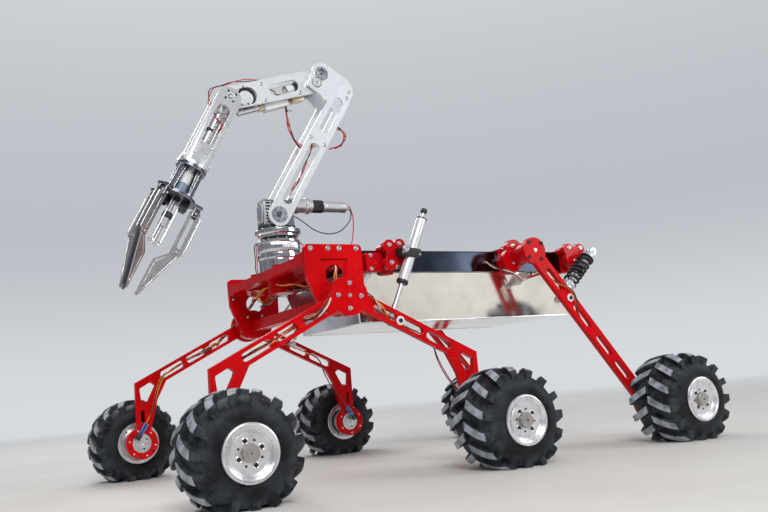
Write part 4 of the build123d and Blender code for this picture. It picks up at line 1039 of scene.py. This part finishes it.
ARM_FACE, FORE_FACE, GEAR_FACE, WRIST_FACE = 37, 25, 18, 36
ELBOW_AT, PINION_AT, SHOULDER_AT = (195, ARM_FACE, 1075), (211, ARM_FACE, 1048), (346, ARM_FACE, 668)
UPPER_SCREWS = [(x, ARM_FACE, z) for x, z in ((241, 888), (201, 867), (112, 1030), (121, 1011))]
flush = lathe(((4.4, -0.3), (4.4, 0.5), (3.2, 0.9), (3, 0.3), (0.01, 0.2)), 24)
# A dark ring round each flush screw's head: painted shadow.
screw_shadow_ring = lathe(((4.5, 0), (5.4, 0), (5.3, 0.35), (4.5, 0.35)), 24, True)
elbow_disc = turning(((5, 0), (20.5, 0), (20.5, 2), (19.8, 2.6), (12.6, 2.6), (12, 1.8), (5, 1.8)), 64)
pinion = lathe(((2, -0.5), (12, -0.5), (12, 2.6), (11.2, 3), (4, 3), (2, 2.2)), 180, False, 20, 1.6)
shoulder_disc = lathe(((8.8, 0), (23, 0), (22.6, 0.5), (8.8, 0.6)), 64, True)
marks = [facing(place, screw_shadow_ring) for place in UPPER_SCREWS]
# Dark studs and arcs on the elbow and shoulder discs: painted shade in their holes and gaps.
marks += [facing(ELBOW_AT, moved(dots(1.5, 16.2, 7, 0.4), z=2.6), arc_band(8.6, 11.6, 0.2, 2.4, 1.8, 2.4),
                 dots(3, 0, 1, 0, 2.6)),
          facing(PINION_AT, lathe(((13, 0), (14.6, 0), (14.4, 0.5), (13, 0.5)), 40, True)),
          facing(SHOULDER_AT, dots(2.2, 17, 6, 0.25), arc_band(5.2, 8, 0.6, 4.6, 0, 0.6), dots(2.4, 0, 1))]
bush = lathe(((6.1, -9), (8.6, -9), (8.6, 9), (6.1, 9)), 32, True)
bushes = [towards(bush, SHOULDER + share * np.array((-203, 0, 338)), (0, 1, 0)) for share in (0.62, 0.68)]
for name, piece, finish in (
        ("upper_screws", joined(*[facing(place, flush) for place in UPPER_SCREWS]), SCREW),
        ("elbow_discs", facing(ELBOW_AT, elbow_disc), BRIGHT), ("elbow_pinions", facing(PINION_AT, pinion), STEEL),
        ("upper_marks", joined(*marks), BLACK_SCREWS_AND_SHADE), ("shoulder_discs", facing(SHOULDER_AT, shoulder_disc), BRIGHT),
        ("upper_bushes", joined(*bushes), BRASS)):
    build(name, piece, finish, "upper_arm")


# In the forearm: the drive's motor, the wrist's gear, screws, and a box and a cylinder slung below

def fore_place(along, above, y):
    """Point on the forearm's left side."""
    return ELBOW + along * FORE_ALONG + above * FORE_ABOVE + y * SIDEWAYS


def along_forearm(piece, above):
    """A piece drawn along Z, laid along the forearm at a height from the elbow's line."""
    return towards(piece, fore_place(0, above, 0), FORE_ALONG)


DRIVE_LINE, SLUNG_LINE = -16, -43
screws = [fore_place(along, above, FORE_FACE) for along, above in ((185, 13), (190, -32), (82, -36), (20, 12))]
holes = [fore_place(along, above, FORE_FACE) for along, above in ((242, -31), (239, 17))]
# Dark rings round the screws and dark studs in the holes: painted shade.
fore_painted_shade_marks = [facing(place, screw_shadow_ring) for place in screws] + [facing(place, dots(2.6, 0, 1)) for place in holes]
# A dark disc behind the wrist gear's disc: painted shade in the gap round it.
fore_painted_shade_marks.append(facing(fore_place(236, -11, GEAR_FACE), lathe(((26, -0.3), (26, 0.4), (0.01, 0.4)), 48)))
gear_disc = turning(((4, 0.2), (20.4, 0.2), (20.4, 4.4), (19.6, 5), (4, 5)))
spacers = [on_forearm(block((start, start + 26), (-34, -22), (-17.8, 17.8), 1)) for start in (112, 166)]
slung_blocks = [on_forearm(block((193, 209), (-53, -36), (-10, 10), 1)),
                on_forearm(block((70, 106), (-55, -38), (-12, 12), 1))]
DRIVE_CAN = ((4, 88.5), (14.8, 88.7), (15.2, 90), (15.2, 108), (13.6, 111.4), (6, 112.2), (5.6, 115), (2, 115.2))
DRIVE_BAND = ((4, 69), (14.6, 69.2), (15.4, 70.4), (15.4, 87.6), (14.6, 88.8), (4, 89))
SLUNG = ((0.4, 209), (8.6, 209.2), (9.2, 210.4), (9.2, 270), (8, 272), (0.4, 272.2))
for name, piece, finish in (
        ("drive_can", along_forearm(turning(DRIVE_CAN, 40), DRIVE_LINE), WHITE),
        ("drive_band", along_forearm(lathe(DRIVE_BAND, 120, False, 30, 0.6), DRIVE_LINE), SATIN),
        ("forearm_screws", joined(*[facing(place, flush) for place in screws]), SCREW),
        ("forearm_marks", joined(*fore_painted_shade_marks), BLACK_SCREWS_AND_SHADE),
        ("wrist_gear_discs", facing(fore_place(241, -14, GEAR_FACE + 0.2), gear_disc), ARM),
        ("forearm_spacers", joined(*spacers), BRASS),
        ("forearm_under_cylinder", along_forearm(turning(SLUNG, 32), SLUNG_LINE), SILVER),
        ("forearm_under_blocks", joined(*slung_blocks), BRASS),
        ("forearm_under_box", on_forearm(block((120, 193), (-58, -38), (-13, 13), 1.4)), WHITE)):
    build(name, piece, finish, "forearm")


# Wrist and gripper, drawn in (aside, y, along)

def wrist_place(along, aside):
    """Point on the wrist's left face."""
    return WRIST + along * TOOL_ALONG + aside * TOOL_ASIDE + (0, WRIST_FACE, 0)


# Dark studs and an arc on the wrist's faces: painted shade in its holes and a gap.
wrist_marks = facing(wrist_place(4, 0), dots(3.1, 15.6, 4, 0.35), arc_band(4.4, 6.6, 0.4, 5.4, 0, 0.6))
wrist_bolts = [facing(wrist_place(*place), button_screw(4.4, 2.6))
               for place in ((158, 14), (189, -14), (162, -20), (192, 18))]
clips = on_tool(block((-4, 13.6), (-13.6, 13.6), (102, 109)), block((-30, 30), (-29.6, 29.6), (199, 202), 1))
WRIST_CAN = ((4, 52), (12.2, 52.2), (13, 53.4), (13, 92), (11, 93), (11, 99), (12.6, 100), (12.6, 166), (11, 169),
    (4, 170))
WRIST_HUB = ((8, 30), (16.6, 30.2), (17.4, 31.6), (17.4, 44), (15, 46), (9, 51.6), (8, 52))
plate_heads = [moved(socket_screw(3.2, 2.4), u, v, 213) for u in (-33, 33) for v in (-27, 27)]
for name, piece, finish, *rest in (
        ("wrist_marks", wrist_marks, BLACK_SCREWS_AND_SHADE), ("wrist_bolts", joined(*wrist_bolts), SCREW),
        ("wrist_can", on_tool(turning(WRIST_CAN, 40)), STEEL, ["wrist_motor"], "motor_steel"),
        ("wrist_hub", on_tool(turning(WRIST_HUB, 40)), BRIGHT), ("wrist_clips", clips, SATIN),
        ("wrist_plate", on_tool(block((-39, 39), (-33, 33), (203, 213), 1.2)), TOOL),
        ("wrist_plate_screws", on_tool(*plate_heads), SCREW)):
    build(name, piece, finish, "wrist", *rest)

softened("gripper_body", TOOL_DARK, 0.8, BRIGHT)


def in_tool_plane(outline, low, high, edge=0.6):
    """Flat piece of the tool: an outline in (aside, along) from one y to another."""
    piece = prism(outline, low, high, edge)
    return piece[0][:, (0, 2, 1)], piece[1]


SIDE = np.array(((22, 230), (25, 230), (34, 305.6), (31, 305.6)))
FLAP = np.array(((15, 230.4), (25, 230.4), (35, 305.4), (21, 305.4)))
FLAP_Y = 18.6
panels, edges, grooves = [], [], []
for hand in (1, -1):
    panels.append(in_tool_plane(SIDE * (hand, 1), -18, 18))
    for v in (FLAP_Y, -FLAP_Y):
        panels.append(in_tool_plane(FLAP * (hand, 1), v - 1, v + 1, 0.4))
        edges += [bar((low * hand, v, 230.8), (high * hand, v, 305), 1.1)
                  for low, high in ((15.6, 21.6), (24.6, 34.6))]
        over = v + np.sign(v)
        grooves += [bar(((15.6 + 9 * share) * hand, over, 234), ((21.6 + 13 * share) * hand, over, 302), 0.6, 6)
                    for share in (0.34, 0.66)]

COLLAR = ((6, 230.2), (18, 230.4), (18, 234), (15.8, 235), (15.8, 238), (6, 238.2))
CAN_UPPER = ((4, 238), (14.6, 238.2), (15.4, 239.4), (15.4, 271), (14, 272), (4, 272.2))
CAN_LOWER = ((4, 272), (15, 272.2), (15.8, 273.4), (15.8, 304), (14, 305.6), (4, 305.8))
plate_screw = socket_screw(2.4, 2.2)
knob = lathe(((3, 314.2), (14, 314.4), (14.6, 316), (14.6, 328), (11, 331), (5, 331.6), (4.6, 337), (2, 337.2)),
             96, False, 12, 1.6)
housing = [moved(knob, 18, -24), block((-36, -16), (-14, 14), (314, 338), 1.2),
           lathe(((5.6, 314), (12, 314.2), (12, 318), (9, 319), (9, 322), (5.6, 322.2)), 40, True)]
SCREW_LOW, SCREW_HIGH, SCREW_PITCH = 314, 440, 2.4
thread = np.linspace(SCREW_LOW, SCREW_HIGH, 400)
turns = (thread - SCREW_LOW) * TAU / SCREW_PITCH
screw = [lathe(((4.4, SCREW_LOW), (4.4, SCREW_HIGH)), 24),
         tube(np.c_[4.5 * np.cos(turns), 4.5 * np.sin(turns), thread], 0.6, 6, (0, 0, 1))]
frame_parts = [lathe(((15, 438.5), (18.2, 438.5), (18.2, 442), (15, 442)), 40, True)]
for a in (1, 3.1, 5.2):
    frame_parts.append(bar((16.5 * cos(a), 16.5 * sin(a), 313), (16.5 * cos(a), 16.5 * sin(a), 442), 1.5, points=3))
frame_parts += [turned_about(block((-17, 17), (-1.6, 1.6), (438.8, 441.6), 0.5), a) for a in (0.5, 1.6, 2.6)]
NUT_TOP = ((5.4, 356), (11.6, 356.2), (12.8, 358), (12.8, 370), (11.8, 372), (5.4, 372.2))
for name, pieces, finish, body, *rest in (
        ("bracket_sides", panels, TOOL_DARK, "gripper"), ("bracket_edges", edges, BRIGHT, "gripper"),
        ("bracket_channels", grooves, STEEL, "gripper"),
        ("gripper_collar", [turning(COLLAR, 40)], BRIGHT, "gripper"),
        ("gripper_can_upper", [turning(CAN_UPPER, 40)], WHITE, "gripper", ["gripper_motor"], "motor_steel"),
        ("gripper_can_lower", [turning(CAN_LOWER, 40)], BLUE_GREY, "gripper"),
        ("base_plate_screws", [moved(ring_of((plate_screw[0] * (1, 1, -1), plate_screw[1]), 44, 0, 8, 0.3), z=306.2)],
         SCREW, "gripper"),
        ("gripper_housings", housing, SATIN, "gripper"),
        ("gripper_thread", screw, STEEL, "gripper", ["gripper_screw"], "motor_steel", 60),
        ("screw_frame", frame_parts, BRIGHT, "gripper"),
        ("nut_top", [turning(NUT_TOP, 96, True, 16, 1)], SATIN, "nut", ["gripper_nut"], "black_anodised"),
        ("nut_block", [lathe(((5.4, 372.4), (11.4, 372.4), (11.4, 395.4), (5.4, 395.4)), 6, True)], STEEL, "nut")):
    build(name, on_tool(*pieces), finish, body, *rest)


PALM_CORE = ((66, 446), (54, 480), (24, 570), (20, 570), (21.5, 482), (47, 452))
PALM_RIM = np.array(((68, 446), (55, 484), (27, 560), (21.5, 560), (22.5, 482), (47, 454)))
PALM_DOTS = ((60, 452), (52, 474), (40, 500), (33, 524), (26, 552))
OUTER_ROD = np.array(((66, 0, 333), (76.5, 0, 334.5), (78, 0, 345), (78, 0, 428), (76.5, 0, 436.5), (66, 0, 439)))
PLATE_APART, PLATE_THIN = 5.5, 0.2


def finger_plates(number, phase):
    """The finger's CAD shape as two thin plates, in place.

    Each point's distance from the finger's middle plane becomes a fifth of itself, less 5.5 mm for one plate and plus
    5.5 mm for the other.
    """
    mesh = merged_copy(f"finger_{number}")
    points = np.empty(3 * len(mesh.vertices))
    mesh.vertices.foreach_get("co", points)
    points = points.reshape(-1, 3) * 1000 - (MIDDLE_AXLE_X, 0, 0)
    over = cos(phase) * SIDEWAYS - sin(phase) * TOOL_ASIDE
    v = (points - WRIST) @ over
    faces = [list(polygon.vertices) for polygon in mesh.polygons]
    return joined(*[(points + (PLATE_APART * s + (PLATE_THIN - 1) * v)[:, None] * over, faces) for s in (-1, 1)])


def finger_parts(phase):
    """Rods, pins, dots and palm core of one finger, drawn at phase 0 and turned about the tool.

    The palm's raised rim is its outline with each corner drawn 2.4 mm towards the middle.
    """
    rods = [tube(smooth_route(OUTER_ROD + (0, v, 0), 40), 1.6, 8) for v in (6, -6)]
    rods += [bar((ring, 0, 336), (ring, 0, 434), 1.5) for ring in (50.4, 69.6)]
    pins = []
    for along, half in ((330, 15.4), (440, 9.6)):
        pin = lathe(((0.4, -half - 3.4), (2.4, -half - 3), (3.4, -half - 1.4), (3.4, -half - 0.4), (2.2, -half),
            (2.2, half), (3.4, half + 0.4), (3.4, half + 1.4), (2.4, half + 3), (0.4, half + 3.4)), 20)
        pins.append(towards(pin, (60, 0, along), (0, 1, 0)))
    inward = PALM_RIM.mean(0) - PALM_RIM
    rim = PALM_RIM + 2.4 * inward / np.linalg.norm(inward, axis=1, keepdims=True)
    where = np.linspace(0, 6, 60)
    u, a = (np.interp(where, range(7), np.r_[column, column[:1]]) for column in rim.T)
    rods += [tube(np.c_[u, np.full(60, v), a], 0.8, 6) for v in (7.1, -7.1)]
    # Dark dots on the palm: painted shade in its holes.
    marks = [towards(dots(1.3, 0, 1, 0, 0.4), (u, 7 * s, a), (0, s, 0)) for u, a in PALM_DOTS for s in (1, -1)]
    core = in_tool_plane(PALM_CORE, -4.2, 4.2)
    return [on_tool(turned_about(joined(*parts), phase)) for parts in (rods, pins, marks, [core])]


def darken_rims(plates, phase):
    """Second finish, a dark grey that is painted shade, on the plates' narrow faces: those whose normal lies nearly in
    the finger's own plane.
    """
    over = cos(phase) * SIDEWAYS - sin(phase) * TOOL_ASIDE
    polygons = plates.data.polygons
    normals = np.empty(3 * len(polygons))
    polygons.foreach_get("normal", normals)
    plates.data.materials.append(SHADED_RIM_GREY)
    polygons.foreach_set("material_index", (np.abs(normals.reshape(-1, 3) @ over) < 0.5).astype(np.int32))
    round_edges(plates, 0.4, BRIGHT)
    plates.modifiers["edges"].material = -1


for number, phase in enumerate((180, 45, 315), 1):
    body, phase = f"finger_{number}", radians(phase)
    plates = build(f"{body}_plates", finger_plates(number, phase), FINGER, body, [body], smooth=35)
    darken_rims(plates, phase)
    rods, pins, marks, core = finger_parts(phase)
    build(f"{body}_rods", rods, BRIGHT, body, smooth=60)
    for kind, piece, finish in (("pins", pins, SCREW), ("marks", marks, BLACK_SCREWS_AND_SHADE), ("core", core, TOOL_DARK)):
        build(f"{body}_{kind}", piece, finish, body)


# Arm wires

def across_joint(name, points, colours, radius, spread, count=60):
    """Wires that leave one body and end on the next, bending between them."""
    for number, colour in enumerate(colours):
        piece = strand(points, number, radius, spread, count)
        piece = build(f"{name}_{colour}_{number}", piece, WIRE[colour], None, smooth=60)
        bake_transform(piece)


ELBOW_WIRES = ((282, -4, 1022), (288, -5, 1004), (290, -5, 976), (288, -5, 937), (279, -5, 905), (256, -5, 874),
    (236, -5, 858))
UPPER_LOOP = ((170, 4, 900), (152, 4, 926), (138, 4, 931), (124, 4, 922), (120, 4, 904), (132, 4, 886), (150, 4, 873),
    (172, 4, 868))
UPPER_SLOT = ((228, 12, 888), (232, 20, 868), (240, 24, 848), (251, 25, 828), (264, 25, 798), (278, 25, 773),
    (296, 25.5, 746), (310, 26, 724))
WRIST_LOOP = ((360, 16, 1046), (425, 17, 1034), (469, 17, 1022), (494, 17, 1012), (510, 16, 996), (514, 14, 976),
    (508, 10, 958), (500, 6, 944))
WRIST_SLOT = ((500, 4, 944), (496, 12, 931), (492, 16, 918), (484, 17, 908), (488, 14, 896), (498, 12, 884))
FORE_SLOT = ((352, 4, 1026), (338, 8, 1024), (328, 8, 1020), (325, 8, 1012), (308, 8, 1014), (292, 8, 1020))
across_joint("elbow_wires", ELBOW_WIRES, ("red", "red", "black"), 1.5, 3)
bundle("upper_loop", UPPER_LOOP, ("red", "red", "black"), 1.5, 2.6, "upper_arm", False)
bundle("upper_slot_wires", UPPER_SLOT, ("red", "black"), 1.5, 1.8, "upper_arm", False)
across_joint("wrist_loop", WRIST_LOOP, ("red", "black"), 1.3, 3.2)
bundle("wrist_slot_wires", WRIST_SLOT, ("red", "black", "red"), 1.2, 2.4, "wrist", False)
bundle("forearm_slot_wires", FORE_SLOT, ("black",), 1.5, 1, "forearm", False)
zip_tie = towards(lathe(((3.6, -1.4), (4.6, -1.4), (4.6, 1.4), (3.6, 1.4)), 24, True), (289.5, -4, 972), (0, 0.1, 1))
build("cable_tie", joined(zip_tie, tube(((286, -4, 972), (280, -3, 973), (274, -2, 972)), 0.9, 6)), SATIN, "forearm")


# CAD shapes that only take a finish

for node, finish in (("deck", BLACK), *((f"hub_motors_{axle}", STEEL) for axle in AXLES)):
    mesh = frame["nodes"][node].data
    mesh.materials.clear()
    mesh.materials.append(finish)


# Floor, light and world

HORIZON = (0.68, 0.70, 0.72)


def studio():
    """Pale floor, three soft lamps, and a world that is pale at the horizon and darker overhead.

    The camera sees the world plain; polished metal sees it broken into soft light and dark patches.  The floor's far
    part gives off the horizon's colour, so that its edge doesn't show.
    """
    mesh = bpy.data.meshes.new("floor")
    mesh.from_pydata([(-14, -14, 0), (14, -14, 0), (14, 14, 0), (-14, 14, 0)], [], [(0, 1, 2, 3)])
    floor = bpy.data.objects.new("floor", mesh)
    bpy.context.scene.collection.objects.link(floor)
    tone = Finish("floor_paint", (0.74, 0.72, 0.69), 0, 0.55)
    patches = tone.noise(1.6, 6)
    away = tone.add("ShaderNodeVectorMath", {"operation": "LENGTH"}, i0=tone.place()).outputs["Value"]
    far = tone.ranged(away, 1.6, 7)
    near = tone.mixed(tone.ranged(patches, 0.35, 0.7), (0.80, 0.78, 0.75), (0.68, 0.66, 0.63))
    tone.colour_from(tone.mixed(far, near, (0, 0, 0)))
    tone.drive("Specular IOR Level", tone.ranged(far, 0, 1, 0.5, 0))
    tone.roughness_from(tone.ranged(patches, 0.3, 0.7, 0.45, 0.65))
    rays = tone.add("ShaderNodeLightPath").outputs
    tone.set("Emission Color", (*HORIZON, 1))
    tone.drive("Emission Strength", tone.sums(far, tone.sums(rays["Is Camera Ray"], rays["Is Glossy Ray"], "MAXIMUM")))
    mesh.materials.append(tone.material)
    for name, place, size, power, colour in (
            ("key", (1.3, 3.6, 3), 1.8, 98, (1, 0.99, 0.97)),
            ("fill", (-3, 2.6, 1.9), 2.2, 45, (0.95, 0.97, 1)),
            ("rim", (0.2, -3.2, 3.2), 2.2, 60, (1, 1, 1))):
        lamp = bpy.data.lights.new(name, "AREA")
        lamp.size, lamp.energy, lamp.color = size, power, colour
        lamp_object = bpy.data.objects.new(name, lamp)
        lamp_object.location = place
        lamp_object.rotation_euler = (Vector((0, 0, 0.4)) - Vector(place)).to_track_quat("-Z", "Y").to_euler()
        bpy.context.scene.collection.objects.link(lamp_object)
    world = bpy.data.worlds.new("world")
    world.use_nodes = True
    sky = Nodes(world.node_tree)
    where = sky.add("ShaderNodeTexCoord").outputs["Generated"]
    stretched = sky.add("ShaderNodeMapping", Vector=where, Scale=(2.6, 2.6, 1.1)).outputs[0]
    plain = sky.ramp(sky.add("ShaderNodeSeparateXYZ", i0=where).outputs["Z"],
                     (0, HORIZON), (0.75, (0.20, 0.23, 0.28)), (0.20, (0.50, 0.53, 0.57)))
    room = sky.ramp(sky.add("ShaderNodeTexNoise", Vector=stretched).outputs["Fac"],
                    (0.40, (0.05, 0.06, 0.08)), (0.60, (1, 1, 1)), (0.49, (0.40, 0.42, 0.46)))
    rays = sky.add("ShaderNodeLightPath").outputs
    colour = sky.mixed(rays["Is Glossy Ray"], plain, sky.mixed(1, plain, room, "MULTIPLY"))
    seen = sky.sums(rays["Is Camera Ray"], rays["Is Glossy Ray"], "MAXIMUM")
    seen = sky.sums(seen, rays["Is Transmission Ray"], "MAXIMUM")
    background = sky.tree.nodes["Background"]
    sky.tree.links.new(colour, background.inputs["Color"])
    sky.tree.links.new(sky.ranged(seen, 0, 1, 0.55, 1), background.inputs["Strength"])
    bpy.context.scene.world = world
    bpy.context.scene.view_settings.view_transform = "Standard"


studio()
